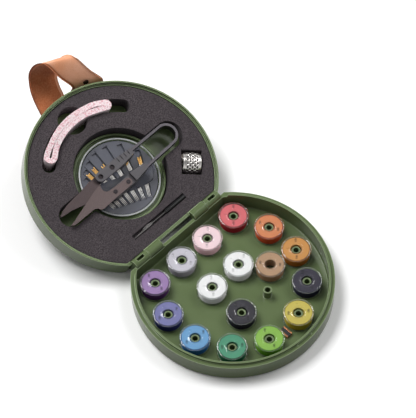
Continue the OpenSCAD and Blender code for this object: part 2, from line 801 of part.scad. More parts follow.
// Open ring thimble with a rolled edge at one end.
module thimble() {
    low = lid_floor + thimble_r + film;
    color("silver") in_lid() translate([thimble_at[0], thimble_at[1], low]) rotate(thimble_turn)
        rotate([0, 90, 0]) rotate_extrude($fn = 96) difference() {
            union() {
                barrel_section(0, 0);
                translate([thimble_end_r - 0.1, -thimble_l / 2 + thimble_rim]) circle(thimble_rim);
            }
            barrel_section(thimble_t, 1);
        }
}

// Origin where the blade leaves the handle; the handle runs along +X.
module ripper_frame() {
    in_lid() translate([ripper_x0, ripper_at[1], foam_top - ripper_w / 2 + 0.4]) children();
}

module ripper_handle() {
    color("#141416") ripper_frame() rotate([0, 90, 0]) difference() {
        cylinder(r = ripper_w / 2, h = ripper_handle_l);
        translate([0, 0, -1]) cylinder(r = ripper_shank[0] + fit, h = ripper_shank[1] + 1 + fit);
    }
}

// Forked blade: a round shank, a long point and a short guarded one.
module ripper_blade() {
    neck = ripper_blade_l * 0.42;
    color("silver") ripper_frame() {
        rotate([0, -90, 0]) translate([0, 0, -ripper_shank[1]])
            cylinder(r = ripper_shank[0], h = ripper_shank[1] + neck);
        translate([0, 0, -0.4]) linear_extrude(0.8) {
            polygon([[-neck + 1, -0.5], [-neck + 1, 0.5], [-neck - 3, 1.3], [-neck - 8, 1.1],
                [-neck - 8.4, 0.6], [-neck - 5, 0.3], [-ripper_blade_l, -0.3],
                [-ripper_blade_l, -0.7], [-neck - 4, -0.9]]);
        }
    }
}

// ---- strap ----

// A point given in the lid's frame, as seen in the part's frame.
function lid_point(x, v, w) =
    [x, hinge_y + v * cos(lid_tilt) - w * sin(lid_tilt), hinge_z + v * sin(lid_tilt) + w * cos(lid_tilt)];
// Middle of the strap beside the lid's wall, and below the lid's outer face.
strap_off = strap_t / 2 + strap_gap;
function beside_wall(x, w, out) =
    lid_point(x, centre_v + sqrt(pow(lid_r + strap_off + out, 2) - x * x), w);
function below_lid(v, gap) = lid_point(0, v, -lid_h - strap_off - gap);
// Middle line of the strap: up beside the lid's wall, over, down, under the lid and back up
// to its underside; the low stretch rests on the table and carries the open lid. The loop is
// given from the point where the strap leaves the wall, the low stretch from the hinge axis.
wall_end = beside_wall(27, -3.5, 0.9);
table_z = strap_t / 2 + rest_gap;
strap_loop = [[-5.5, 5.9, 10.3], [-9.5, 13.1, 20.4], [-12.5, 17.6, 21.8], [-15, 21.7, 17], [-17,
    24.4, 8.5], [-18.5, 23.8, 0.9], [-20.5, 20.9, -3.7], [-22, 16.6, -8.4], [-23.5,
    10.4, -12.6], [-24.5, 4.2, -17.4]];
strap_low = [[2, 106.8, 16.9], [1.5, 96.8, 8.5], [1, 86.8, 2.2], [0.5, 76.8, 0.1],
    [0, 67.8, 0.45], [0, 60.3, 3.5]];
strap_line = concat([beside_wall(27, -12, 0), wall_end], [for (p = strap_loop) wall_end + p],
    [for (p = strap_low) [p[0], hinge_y + p[1], table_z + p[2]]],
    [below_lid(51.1, 2.6), below_lid(45.4, 0.2), below_lid(41.8, 0), below_lid(38, 0)]);
strap_steps = 3;
strap_n = (len(strap_line) - 1) * strap_steps;
// Direction across the strap in its upper loop; below the lid it turns to lie along X.
loop_across = [0.934, -0.262, -0.249];
turn_from = 9;
turn_to = 14;

function unit(v) = v / norm(v);
function cubic(a, b, c, d, t) =
    (2 * b + (c - a) * t + (2 * a - 5 * b + 4 * c - d) * t * t
    + (3 * b - a - 3 * c + d) * t * t * t) / 2;
function strap_knot(i) = strap_line[max(0, min(len(strap_line) - 1, i))];
function strap_point(t) =
    let (i = min(floor(t), len(strap_line) - 2))
    cubic(strap_knot(i - 1), strap_knot(i), strap_knot(i + 1), strap_knot(i + 2), t - i);
function strap_along(t) = unit(strap_point(min(t + 0.02, len(strap_line) - 1))
    - strap_point(max(t - 0.02, 0)));
function strap_turn(t) = max(0, min(1, (t - turn_from) / (turn_to - turn_from)));
function strap_across(t) = unit(loop_across + strap_turn(t) * ([1, 0, 0] - loop_across));
function strap_out(t) = unit(cross(strap_along(t), strap_across(t)));
function strap_corners(t) = [for (c = [[-1, -1], [1, -1], [1, 1], [-1, 1]])
    strap_point(t) + c[0] * strap_w / 2 * strap_across(t) + c[1] * strap_t / 2 * strap_out(t)];

module strap_sheet() {
    rings = [for (k = [0:strap_n]) strap_corners(k / strap_steps)];
    points = [for (ring = rings) for (p = ring) p];
    sides = [for (k = [0:strap_n - 1]) for (e = [0:3])
        let (a = 4 * k + e, b = 4 * k + (e + 1) % 4)
        each [[a, b, b + 4], [a, b + 4, a + 4]]];
    last = 4 * strap_n;
    ends = [[0, 3, 2], [0, 2, 1], [last, last + 1, last + 2], [last, last + 2, last + 3]];
    polyhedron(points = points, faces = concat(sides, ends));
}

// Gap that lets a flat rivet head clear the curved leather.
head_gap = 0.3;
// Places along the strap: its end on the lid's wall, the stud and its end under the lid.
wall_rivet = 0.4;
stud = 1.2;
floor_rivet = 20.4;

// Moves children to the strap's middle at place t, with Z pointing into the loop.
module at_strap(t) {
    out = strap_out(t);
    translate(strap_point(t)) rotate([0, acos(out[2]), atan2(out[1], out[0])]) children();
}

module strap_rivet_holes() {
    reach = strap_off + rivet_deep;
    at_strap(wall_rivet) translate([0, 0, -reach - fit]) cylinder(r = shank_r + fit, h = 2 * reach);
    at_strap(floor_rivet) translate([0, 0, -strap_t])
        cylinder(r = shank_r + fit, h = strap_t * 1.5 + rivet_deep + 0.2);
    at_strap(stud) translate([0, 0, -strap_t]) cylinder(r = shank_r + fit, h = 2 * strap_t);
}

module strap() {
    color("peru") difference() {
        strap_sheet();
        strap_rivet_holes();
    }
}

module strap_rivets() {
    face = strap_t / 2 + head_gap;
    reach = strap_off + rivet_deep;
    color("#2a1c16") {
        at_strap(wall_rivet) {
            translate([0, 0, -reach]) cylinder(r = shank_r, h = reach + face + eps);
            translate([0, 0, face]) cylinder(r = rivet_r, h = rivet_t);
        }
        at_strap(floor_rivet) {
            translate([0, 0, -face - eps]) cylinder(r = shank_r, h = face + strap_t / 2 + rivet_deep);
            translate([0, 0, -face - rivet_t]) cylinder(r = rivet_r, h = rivet_t);
        }
        at_strap(stud) {
            translate([0, 0, -face - eps]) cylinder(r = shank_r, h = 2 * face + 2 * eps);
            for (z = [-face - rivet_t, face]) translate([0, 0, z]) cylinder(r = rivet_r, h = rivet_t);
        }
    }
}

base_tray();
lid_shell();
foam_insert();
magnet_channel();
pin_magnet();
tape_measure();
snips_bow();
snips_arm();
snips_grip_upper();
snips_grip_lower();
snips_blade_upper();
snips_blade_lower();
snips_screws();
snips_rivets();
needle_case_base();
needle_insert();
needles();
needle_case_cover();
thimble();
ripper_handle();
ripper_blade();
strap();
strap_rivets();
for (i = [0:post_count - 1]) {
    bobbin(bobbin_places[i]);
    thread(bobbin_places[i], thread_colors[i]);
}
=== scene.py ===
import math
import random

import bmesh
import bpy
from mathutils import Matrix, Vector, noise


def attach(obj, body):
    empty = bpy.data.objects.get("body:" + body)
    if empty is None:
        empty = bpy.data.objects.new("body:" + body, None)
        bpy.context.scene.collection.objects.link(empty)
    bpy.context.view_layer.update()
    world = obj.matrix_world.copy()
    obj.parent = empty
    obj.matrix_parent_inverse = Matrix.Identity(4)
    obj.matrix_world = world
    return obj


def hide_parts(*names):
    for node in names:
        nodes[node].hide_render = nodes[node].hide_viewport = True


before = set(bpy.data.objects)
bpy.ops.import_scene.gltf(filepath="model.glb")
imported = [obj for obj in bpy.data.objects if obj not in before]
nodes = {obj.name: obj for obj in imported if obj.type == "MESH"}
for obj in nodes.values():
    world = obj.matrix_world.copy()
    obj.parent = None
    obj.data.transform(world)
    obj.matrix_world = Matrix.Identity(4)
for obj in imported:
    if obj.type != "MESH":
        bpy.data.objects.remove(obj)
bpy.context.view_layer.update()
MM = 0.001

# ---------------------------------------------------------------- frames

# The open lid leans on its edge. Its frame starts on the hinge line, HINGE_Y behind the
# tray's middle and HINGE_Z above the table, and its own middle is LID_OFF further on.
TILT = math.radians(16.7)
HINGE_Y, HINGE_Z, LID_OFF = 53.2, 14, 53.2
LID = (
    Matrix.Translation(Vector((0, HINGE_Y, HINGE_Z)) * MM)
    @ Matrix.Rotation(TILT, 4, "X")
    @ Matrix.Scale(MM, 4)
)
LID_MID = LID @ Matrix.Translation((0, LID_OFF, 0))
PART = Matrix.Scale(MM, 4)
LID_FLOOR = -14.6
FOAM_TOP = -2.6


# ---------------------------------------------------------------- materials

# painted highlight: the pale line along the rims stands in for the gloss of a rounded edge
EDGE_WIDE = 0.9  # reach of the pale line along a rim
HOLE_AT, HOLE_R = 6.6, 0.85  # the two small holes of a bobbin's flange


def srgb(text, share=1.0):
    """A hex colour as linear RGBA, darkened to a share of itself."""
    rgb = [int(text[i : i + 2], 16) / 255 for i in (1, 3, 5)]
    return [
        share * (c / 12.92 if c <= 0.04045 else ((c + 0.055) / 1.055) ** 2.4)
        for c in rgb
    ] + [1.0]


class Finish:
    """A Principled material with its node tree at hand."""

    def __init__(self, name, **sockets):
        self.mat = bpy.data.materials.new(name)
        self.mat.use_nodes = True
        self.tree = self.mat.node_tree
        self.bsdf = next(n for n in self.tree.nodes if n.type == "BSDF_PRINCIPLED")
        self.out = next(n for n in self.tree.nodes if n.type == "OUTPUT_MATERIAL")
        self.coords = self.node("ShaderNodeTexCoord").outputs["Object"]
        for key, value in sockets.items():
            self.bsdf.inputs[key.replace("_", " ")].default_value = value

    def node(self, kind, **inputs):
        """A new node with inputs linked or set, by their names with _ for a space."""
        made = self.tree.nodes.new(kind)
        for key, value in inputs.items():
            key = key.replace("_", " ")
            if isinstance(value, bpy.types.NodeSocket):
                self.tree.links.new(value, made.inputs[key])
            else:
                made.inputs[key].default_value = value
        return made

    def link(self, source, target):
        self.tree.links.new(source, target)

    def noise(self, scale, detail=3.0, rough=0.5, stretch=None):
        vector = self.coords
        if stretch:
            m = self.node("ShaderNodeMapping", Vector=vector, Scale=stretch)
            vector = m.outputs["Vector"]
        n = self.node("ShaderNodeTexNoise", Vector=vector, Scale=scale, Roughness=rough)
        n.inputs["Detail"].default_value = detail
        return n.outputs["Fac"]

    def cells(self, scale, feature="F1"):
        n = self.node("ShaderNodeTexVoronoi", Vector=self.coords, Scale=scale)
        n.feature = feature
        return n.outputs["Distance"]

    def ramp(self, fac, *stops):
        r = self.node("ShaderNodeValToRGB", Fac=fac)
        e = r.color_ramp.elements
        for k, (at, colour) in enumerate(stops):
            item = e[k] if k < 2 else e.new(at)
            item.position = at
            item.color = colour
        return r.outputs["Color"]

    def span(self, fac, low, high, to_low, to_high):
        """Maps low to high onto to_low to to_high, held at the ends."""
        r = self.node("ShaderNodeMapRange", Value=fac, From_Min=low, From_Max=high)
        r.inputs["To Min"].default_value = to_low
        r.inputs["To Max"].default_value = to_high
        return r.outputs["Result"]

    def feed(self, made, values):
        """Links a socket, or sets a constant, at each numbered input of a node."""
        for k, value in values:
            if isinstance(value, bpy.types.NodeSocket):
                self.link(value, made.inputs[k])
            else:
                made.inputs[k].default_value = value

    def math(self, kind, a, b=0.0):
        m = self.node("ShaderNodeMath")
        m.operation = kind
        self.feed(m, enumerate((a, b)))
        return m.outputs[0]

    def mix(self, fac, a, b):
        m = self.node("ShaderNodeMix")
        m.data_type = "RGBA"
        self.feed(m, ((0, fac), (6, a), (7, b)))
        return m.outputs[2]

    def blend(self, fac, a, b):
        """Mixes two shaders into the surface."""
        m = self.node("ShaderNodeMixShader")
        self.feed(m, enumerate((fac, a, b)))
        self.link(m.outputs[0], self.out.inputs["Surface"])

    def paint(self, colour):
        self.link(colour, self.bsdf.inputs["Base Color"])

    def rough(self, value):
        self.link(value, self.bsdf.inputs["Roughness"])

    def relief(self, height, depth, strength=1.0, edge=0.0):
        """Bump by a height of depth mm, over edges rounded by the shader."""
        b = self.node("ShaderNodeBump", Height=height, Strength=strength)
        b.inputs["Distance"].default_value = depth * MM
        if edge:
            r = self.node("ShaderNodeBevel", Radius=edge * MM)
            r.samples = 6
            self.link(r.outputs["Normal"], b.inputs["Normal"])
        self.link(b.outputs["Normal"], self.bsdf.inputs["Normal"])
        return self


def plastic(
    name, colour, shade, rough, grain=900.0, depth=0.02, edge=0.0, edge_highlight=None, **more
):
    """Moulded plastic: faint clouds of colour, uneven gloss and a fine grain.

    A highlight colour, if given, is painted along its edges as a painted highlight, wherever
    the surface turns within EDGE_WIDE."""
    f = Finish(name, Roughness=rough, **more)
    tone = f.ramp(f.noise(45, 4), (0.3, srgb(colour)), (0.7, srgb(shade)))
    # painted highlight: paler colour where the bevelled normal turns from the true one, along
    # edges and rims
    if edge_highlight:
        soft = f.node("ShaderNodeBevel", Radius=EDGE_WIDE * MM)
        soft.samples = 8
        turned = f.node("ShaderNodeVectorMath")
        turned.operation = "DOT_PRODUCT"
        f.link(soft.outputs["Normal"], turned.inputs[0])
        f.link(f.node("ShaderNodeNewGeometry").outputs["Normal"], turned.inputs[1])
        turn = f.span(turned.outputs["Value"], 0.97, 0.8, 0.0, 0.8)
        tone = f.mix(turn, tone, srgb(edge_highlight))
    f.paint(tone)
    f.rough(f.span(f.noise(140, 4), 0.3, 0.7, rough * 0.85, rough * 1.18))
    return f.relief(f.noise(grain, 2), depth, 0.5, edge)


def metal(
    name, colour, shade, rough, stretch, scale=500.0, depth=0.01, edge=0.1, metallic=1.0
):
    """Brushed metal: long thin scratches along one axis, in colour, gloss and relief."""
    f = Finish(name, Metallic=metallic, Roughness=rough)
    lines = f.noise(scale, 5, 0.6, stretch)
    f.paint(f.ramp(lines, (0.3, srgb(colour)), (0.7, srgb(shade))))
    f.rough(f.span(lines, 0.3, 0.7, rough * 0.75, rough * 1.3))
    return f.relief(lines, depth, 0.4, edge)


def clear(name, tint, rough, haze, ior=1.47):
    """Clear moulded plastic that lets lamps through, with faint haze and flow marks."""
    f = Finish(name, Roughness=rough, IOR=ior)
    f.bsdf.inputs["Transmission Weight"].default_value = 1 - haze
    flow = f.noise(110, 3)
    f.paint(f.ramp(flow, (0.3, srgb(tint)), (0.7, srgb("#ffffff"))))
    f.rough(f.span(flow, 0.3, 0.7, rough, rough * 1.8))
    f.relief(flow, 0.02, 0.15)
    path = f.node("ShaderNodeLightPath").outputs
    see = f.node("ShaderNodeBsdfTransparent", Color=(0.93, 0.94, 0.94, 1))
    lamp_rays = f.math("MAXIMUM", path["Is Shadow Ray"], path["Is Diffuse Ray"])
    f.blend(lamp_rays, f.bsdf.outputs[0], see.outputs[0])
    return f


def sage(name):
    """The box's own green plastic, with a painted highlight along its rims."""
    gloss = {"Specular_IOR_Level": 0.3}
    return plastic(
        name, "#5d6c49", "#576643", 0.19, 1400, 0.004, 0.35, "#a3b58e", **gloss
    )


def dimpled_chrome():
    """Chrome with shade painted into its dimples, darker with their depth, which a point
    attribute of the mesh holds.
    """
    f = metal("thimble_chrome", "#dedbd7", "#c9c5c0", 0.22, (1, 1, 1), 260, 0.01, 0)
    dimple_shade = f.node("ShaderNodeAttribute")
    dimple_shade.attribute_name = "dimple_shade"
    # painted shade: light chrome on the rims, dark grey at the bottom of each dimple
    f.paint(f.ramp(dimple_shade.outputs["Fac"], (0.0, srgb("#dcd8d4")), (0.9, srgb("#4c4a49"))))
    return f


shell, shell_lid = sage("sage_plastic"), sage("sage_plastic_lid")
channel = metal("copper_plate", "#f2b48e", "#d98a60", 0.22, (1, 30, 1))
magnet = plastic("black_ferrite", "#0c0c0d", "#151416", 0.35, 1500, 0.02, 0.12)
insert = plastic("slate_plastic", "#4b4d58", "#454751", 0.38, 1200, 0.02, 0.15)
# painted shade: near-black strips laid on the needle insert for the shadows along its grooves
shade_strip_mat = plastic("slit_shadow", "#17171b", "#1e1e23", 0.7)
grip = plastic("graphite_plastic", "#4a474b", "#423f43", 0.42, 1600, 0.03, 0.3)
band = metal("sprung_steel", "#59565a", "#4d4a4e", 0.38, (1, 1, 20))
blade = metal("dark_blade_steel", "#645958", "#564c4c", 0.4, (30, 2, 1))
blade_far = metal("dark_blade_steel_upper", "#554b4b", "#484041", 0.42, (30, 2, 1))
screw = metal("black_screw", "#3a3638", "#2d2a2c", 0.35, (1, 1, 1))
steel = metal("needle_steel", "#ffffff", "#f4efe8", 0.32, (1, 1, 1), 90, 0.002, 0, 0.75)
gold = metal("needle_gold", "#f6cd85", "#e5b266", 0.3, (1, 1, 1), 90, 0.002, 0, 0.8)
chrome = dimpled_chrome()
handle = plastic("black_gloss", "#0c0c0d", "#131315", 0.12, 900, 0.01, 0.1)
fork = metal("fork_steel", "#6f6d6c", "#4f4d4d", 0.22, (30, 1, 1), edge=0.05)
stud = metal("dark_rivet", "#3b2c26", "#2c201b", 0.35, (1, 1, 1), edge=0)
cover = clear("clear_cover", "#eef2f4", 0.03, 0.04)
flange = clear("clear_bobbin", "#f2f5f5", 0.04, 0.01, 1.42)
# painted highlight: a hazed, whiter clear plastic for the bright ring along the cover's rim
highlight_haze = clear("clear_haze_highlight", "#f2f5f8", 0.3, 0.2)


def foam_finish():
    """Closed-cell foam: fine cells, with speckle and broad clouds of tone."""
    f = Finish("eva_foam", Roughness=0.92)
    cell = f.cells(2600)
    fine = f.noise(5200, 2)
    clouds = f.span(f.noise(60, 3), 0.3, 0.7, 0.35, 0.8)
    cells = f.ramp(cell, (0.05, srgb("#504a4d")), (0.5, srgb("#383336")))
    grains = f.noise(1250, 2, 0.7)
    speckle = f.ramp(grains, (0.38, srgb("#2b282a")), (0.62, srgb("#564f52")))
    f.paint(f.mix(clouds, cells, speckle))
    f.bsdf.inputs["Sheen Weight"].default_value = 0.04
    f.bsdf.inputs["Specular IOR Level"].default_value = 0.15
    return f.relief(f.math("ADD", cell, fine), 0.05, 0.6)


def leather_grain():
    """The strap's outer face: pores and creases over vegetable-tanned leather."""
    f = Finish("leather_grain", Roughness=0.5)
    pores = f.cells(1500, "DISTANCE_TO_EDGE")
    creases = f.noise(420, 6, 0.65)
    broad = f.noise(38, 4, 0.6)
    tan = f.ramp(broad, (0.3, srgb("#e79d72")), (0.7, srgb("#f4bd9e")))
    f.paint(f.mix(f.span(pores, 0.0, 0.12, 0.35, 0.0), tan, srgb("#c07852")))
    f.rough(f.span(creases, 0.3, 0.7, 0.42, 0.6))
    f.bsdf.inputs["Specular IOR Level"].default_value = 0.4
    f.bsdf.inputs["Sheen Weight"].default_value = 0.35
    f.bsdf.inputs["Sheen Roughness"].default_value = 0.35
    height = f.math("ADD", f.math("MULTIPLY", pores, 3.0), creases)
    return f.relief(height, 0.06, 0.45)


def leather_suede():
    """The strap's inner face: a ruffled nap."""
    f = Finish("leather_suede", Roughness=0.95)
    nap = f.noise(1100, 6, 0.7, (1, 1, 0.5))
    blot = f.noise(70, 4, 0.6)
    f.paint(
        f.mix(
            f.span(nap, 0.35, 0.7, 0.0, 0.7),
            f.ramp(blot, (0.3, srgb("#a0552f")), (0.7, srgb("#b5653c"))),
            srgb("#cd8860"),
        )
    )
    f.bsdf.inputs["Sheen Weight"].default_value = 0.25
    f.bsdf.inputs["Specular IOR Level"].default_value = 0.2
    return f.relief(nap, 0.12, 0.7)


def leather_edge():
    """The strap's cut edge: darker, in layers."""
    f = Finish("leather_edge", Roughness=0.6)
    strata = f.noise(900, 4, 0.6)
    f.paint(f.ramp(strata, (0.3, srgb("#6d3a22")), (0.7, srgb("#8f5233"))))
    return f.relief(strata, 0.08, 0.6)


def thread_finish(name, colour, end):
    """Wound thread, with the sheen of twisted polyester.

    end is for the flat ends, on which shade is painted under the two holes of the flange."""
    f = Finish(name, Roughness=0.55)
    fuzz = f.noise(2600, 3, 0.6, (1, 1, 3))
    pale = min(srgb(colour)[:3]) > 0.5
    level = 0.88 if pale else 0.68
    low, high = srgb(colour, level * 0.9), srgb(colour, level * 1.15)
    tone = f.ramp(fuzz, (0.3, low), (0.72, high))
    # painted shade: dark spots on the end under each hole of the flange
    if end:
        spot = f.node("ShaderNodeSeparateXYZ", Vector=f.coords).outputs
        off = f.math("SUBTRACT", f.math("ABSOLUTE", spot["X"]), HOLE_AT * MM)
        off_2, along_2 = f.math("POWER", off, 2), f.math("POWER", spot["Y"], 2)
        far = f.math("SQRT", f.math("ADD", off_2, along_2))
        shade = srgb(colour, 0.55 if pale else 0.14)
        tone = f.mix(f.math("LESS_THAN", far, HOLE_R * MM), tone, shade)
    f.paint(tone)
    f.bsdf.inputs["Sheen Weight"].default_value = 0.05
    f.bsdf.inputs["Specular IOR Level"].default_value = 0.2
    return f.relief(fuzz, 0.05, 0.5)


foam_mat = foam_finish()
grain_mat, suede_mat, edge_mat = leather_grain(), leather_suede(), leather_edge()


# ---------------------------------------------------------------- mesh tools


def fillet(points, radius, steps, skip=()):
    """A closed outline with its corners rounded; skip lists corners that stay sharp."""
    out = []
    n = len(points)
    for i, p in enumerate(points):
        if i in skip:
            out.append(tuple(p))
            continue
        p = Vector(p)
        a, b = Vector(points[i - 1]) - p, Vector(points[(i + 1) % n]) - p
        la, lb = a.length, b.length
        a.normalize()
        b.normalize()
        half = a.angle(b) / 2
        r = radius[i] if isinstance(radius, (list, tuple)) else radius
        cut = r / max(math.tan(half), 1e-6)
        limit = 0.48 * min(la, lb)
        if cut > limit:
            r *= limit / cut
            cut = limit
        if half > math.pi / 2 - 0.02 or r < 1e-4:
            out.append(tuple(p))
            continue
        middle = p + (a + b).normalized() * (r / math.sin(half))
        start = p + a * cut - middle
        sweep = math.pi - 2 * half
        sign = -1 if a.x * b.y - a.y * b.x > 0 else 1
        for k in range(steps + 1):
            t = -sign * sweep * k / steps
            c, s = math.cos(t), math.sin(t)
            x, y = start.x * c - start.y * s, start.x * s + start.y * c
            out.append((middle.x + x, middle.y + y))
    return out


def guard(profile):
    """Extra points just inside the ends of long straight runs, so that they shade flat."""
    gap, long = 0.06, 0.8
    out = []
    for a, b in zip(profile, [*profile[1:], profile[0]]):
        out.append(a)
        run = Vector(b) - Vector(a)
        if run.length > long:
            step = run.normalized() * gap
            out += [tuple(Vector(a) + step), tuple(Vector(b) - step)]
    return out


def add(name, data):
    """A new object of the scene."""
    o = bpy.data.objects.new(name, data)
    bpy.context.scene.collection.objects.link(o)
    return o


def make(name, verts, faces, finishes, place=PART, picks=None, sharp=35):
    """A mesh of points in mm; picks gives each face's finish, sharp its crease angle."""
    mesh = bpy.data.meshes.new(name)
    mesh.from_pydata([place @ Vector(v) for v in verts], [], faces)
    for f in finishes:
        mesh.materials.append(f.mat)
    if picks:
        mesh.polygons.foreach_set("material_index", picks)
    mesh.shade_smooth()
    mesh.set_sharp_from_angle(angle=math.radians(sharp))
    mesh.update()
    return add(name, mesh)


def lathe_data(profile, turns=96, closed=True, pick=None):
    """Verts, faces and material picks of a profile of (r, z) turned about Z."""
    verts, faces, picks = [], [], []
    n = len(profile)
    for k in range(turns):
        a = 2 * math.pi * k / turns
        verts += [(r * math.cos(a), r * math.sin(a), z) for r, z in profile]
    rows = n if closed else n - 1
    for k in range(turns):
        b, c = k * n, (k + 1) % turns * n
        for i in range(rows):
            j = (i + 1) % n
            faces.append((b + i, c + i, c + j, b + j))
            picks.append(pick(i) if pick else 0)
    return verts, faces, picks


def turn_out(o):
    """Turns every face outwards."""
    b = bmesh.new()
    b.from_mesh(o.data)
    bmesh.ops.remove_doubles(b, verts=b.verts, dist=1e-7)
    bmesh.ops.recalc_face_normals(b, faces=b.faces)
    if b.calc_volume(signed=True) < 0:
        bmesh.ops.reverse_faces(b, faces=b.faces)
    b.to_mesh(o.data)
    b.free()
    return o


def lathe(name, profile, finishes, place=PART, turns=96, closed=True):
    """A profile of (r, z) turned about Z, in one finish."""
    v, f, p = lathe_data(profile, turns, closed)
    return turn_out(make(name, v, f, finishes, place, p))


def carve(o, *tools):
    """Cuts the tools out of o."""
    for t in tools:
        m = o.modifiers.new("cut", "BOOLEAN")
        m.object = t
        m.operation = "DIFFERENCE"
        m.solver = "EXACT"
    bpy.context.view_layer.update()
    cut = o.evaluated_get(bpy.context.evaluated_depsgraph_get())
    mesh = bpy.data.meshes.new_from_object(cut)
    o.modifiers.clear()
    o.data = mesh
    for t in tools:
        bpy.data.objects.remove(t)
    turn_out(o)
    o.data.shade_smooth()
    o.data.set_sharp_from_angle(angle=math.radians(35))
    return o


def prism(name, outline, low, high, finishes, place=PART, edge=0.0):
    """An outline made solid between two heights, with rounded edges all round."""
    n, steps = len(outline), 2
    area = sum(
        outline[i][0] * outline[(i + 1) % n][1]
        - outline[(i + 1) % n][0] * outline[i][1]
        for i in range(n)
    )
    if area < 0:
        outline = outline[::-1]
    inward = []
    for i in range(n):
        a = Vector(outline[i]) - Vector(outline[i - 1])
        b = Vector(outline[(i + 1) % n]) - Vector(outline[i])
        na, nb = Vector((-a.y, a.x)).normalized(), Vector((-b.y, b.x)).normalized()
        m = na + nb
        m = m.normalized() if m.length > 1e-6 else na
        inward.append(m / max(0.35, m.dot(na)))
    levels = []
    if edge:
        for k in range(steps + 1):
            t = math.pi / 2 * k / steps
            levels.append((edge * (1 - math.sin(t)), low + edge * (1 - math.cos(t))))
        for k in range(steps + 1):
            t = math.pi / 2 * k / steps
            levels.append((edge * (1 - math.cos(t)), high - edge * (1 - math.sin(t))))
    else:
        levels = [(0, low), (0, high)]
    verts = []
    for inset, z in levels:
        verts += [
            (p[0] + m.x * inset, p[1] + m.y * inset, z) for p, m in zip(outline, inward)
        ]
    faces = [tuple(range(n))[::-1]]
    for k in range(len(levels) - 1):
        for i in range(n):
            j = (i + 1) % n
            faces.append((k * n + i, k * n + j, (k + 1) * n + j, (k + 1) * n + i))
    top = (len(levels) - 1) * n
    faces.append(tuple(range(top, top + n)))
    return make(name, verts, faces, finishes, place)


def join(first, *rest):
    """Joins pieces into the first one, materials kept."""
    for o in bpy.context.selected_objects:
        o.select_set(False)
    for o in (first, *rest):
        o.select_set(True)
    bpy.context.view_layer.objects.active = first
    bpy.ops.object.join()
    first.select_set(False)
    return first


def stand_in(o, body, slot, *replaced):
    """Ties a piece to its body and hides the nodes that it takes the place of; slot is not
    used.
    """
    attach(o, body)
    if replaced:
        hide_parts(*replaced)
    return o


# ---------------------------------------------------------------- carried-over nodes

for name, finish in (
    ("base_tray", shell),
    ("magnet_channel", channel),
    ("pin_magnet", magnet),
    ("needle_insert", insert),
    ("snips_bow", band),
    ("snips_arm", band),
    ("snips_grip_upper", grip),
    ("snips_grip_lower", grip),
    ("snips_blade_upper", blade_far),
    ("snips_blade_lower", blade),
    ("snips_screws", screw),
    ("snips_rivets", screw),
    ("ripper_handle", handle),
    ("ripper_blade", fork),
):
    nodes[name].data.materials.clear()
    nodes[name].data.materials.append(finish.mat)


# ---------------------------------------------------------------- bobbins

# Bobbins' middles: four down each side of the tray, and the rows between them.
SIDE_R = 49.1
ARC = [math.radians(15 - 29.6 * i) for i in range(4)]
RIGHT = [(SIDE_R * math.cos(a), SIDE_R * math.sin(a)) for a in ARC]
PLACES = (
    RIGHT
    + [(-x, y) for x, y in RIGHT]
    + [(12, 35.7), (-12, 35.7), (36.8, 35.7), (-36.8, 35.7)]
    + [(-12.3, 6.9), (12.3, 6.9), (-12.3, -20.3), (27, -8.2)]
)
# Name of the colour, its wound end under the flange and its side, these two being lit and
# shaded copies of the thread's colour with the light and shade painted in, and the direction
# of the flange's two holes.
WOUND = (
    ("orange", "#e98f5c", "#cf4f1b", 111),
    ("amber", "#dd9a4e", "#b5690f", 47),
    ("indigo", "#241f33", "#121233", 70),
    ("yellow", "#dcc95c", "#bfa821", -37),
    ("periwinkle", "#8081b8", "#20286c", -13),
    ("sky_blue", "#74aee0", "#1a68b0", -10),
    ("green", "#4f9f7c", "#0c6340", -38),
    ("lime", "#94c850", "#69a81c", 72),
    ("pink", "#f1d3d8", "#eec2ca", 42),
    ("grey", "#c4c0ca", "#b1adb6", -71),
    ("red", "#ea7076", "#9c101c", 45),
    ("lilac", "#a886bd", "#56276a", 85),
    ("white_a", "#efeeee", "#e8e7e7", 51),
    ("white_b", "#efeeee", "#e8e7e7", 12),
    ("dark_indigo", "#201d29", "#0f0f20", 82),
    ("tan", "#c29b78", "#ab835f", -52),
)
FLOOR = 1.8  # top of the tray's floor
THREAD_LOW, THREAD_HIGH, THREAD_HUB, THREAD_OUT = 0.93, 8.07, 3.84, 9.22
END_STEPS = 12


def bobbin_master():
    """One-piece bobbin: rounded flanges with a raised rim and hub ring, holes and a slot."""
    profile = [
        (3.25, 0.0),
        (9.7, 0.0),
        (10.15, 0.25),
        (10.15, 0.75),
        (9.75, 0.9),
        (3.8, 0.9),
        (3.8, 8.1),
        (9.75, 8.1),
        (10.15, 8.25),
        (10.15, 8.75),
        (9.85, 9.0),
        (9.35, 9.0),
        (9.2, 8.86),
        (4.75, 8.86),
        (4.6, 9.0),
        (3.25, 9.0),
    ]
    o = lathe("master", guard(fillet(profile, 0.14, 2)), (flange,), turns=72)
    tools = []
    for x in (HOLE_AT, -HOLE_AT):
        drill = [(0.001, -1), (HOLE_R, -1), (HOLE_R, 10), (0.001, 10)]
        t = lathe("tool", drill, (flange,), turns=20)
        t.data.transform(Matrix.Translation((x * MM, 0, 0)))
        tools.append(t)
    slit = [(-0.37, 4.2), (0.37, 4.2), (0.37, 6.4), (-0.37, 6.4)]
    return carve(o, *tools, prism("tool", slit, 8.0, 9.5, (flange,)))


def thread_profile():
    """Wound thread: turns laid side by side, the outermost wrapping a little unevenly."""
    rng = random.Random(5)
    turns = 19
    pitch = (THREAD_HIGH - THREAD_LOW) / turns
    wide = THREAD_OUT - THREAD_HUB
    inner = range(1, END_STEPS)
    profile = [(THREAD_HUB, THREAD_LOW)]
    profile += [(THREAD_HUB + wide * k / END_STEPS, THREAD_LOW) for k in inner]
    for k in range(turns):
        bulge = 0.07 * rng.random()
        for s in range(5):
            t = s / 5
            dip = 0.13 * (1 - math.sin(math.pi * t))
            profile.append((THREAD_OUT - bulge - dip, THREAD_LOW + (k + t) * pitch))
    profile += [(THREAD_OUT - wide * k / END_STEPS, THREAD_HIGH) for k in inner]
    profile.append((THREAD_HUB, THREAD_HIGH))
    return profile


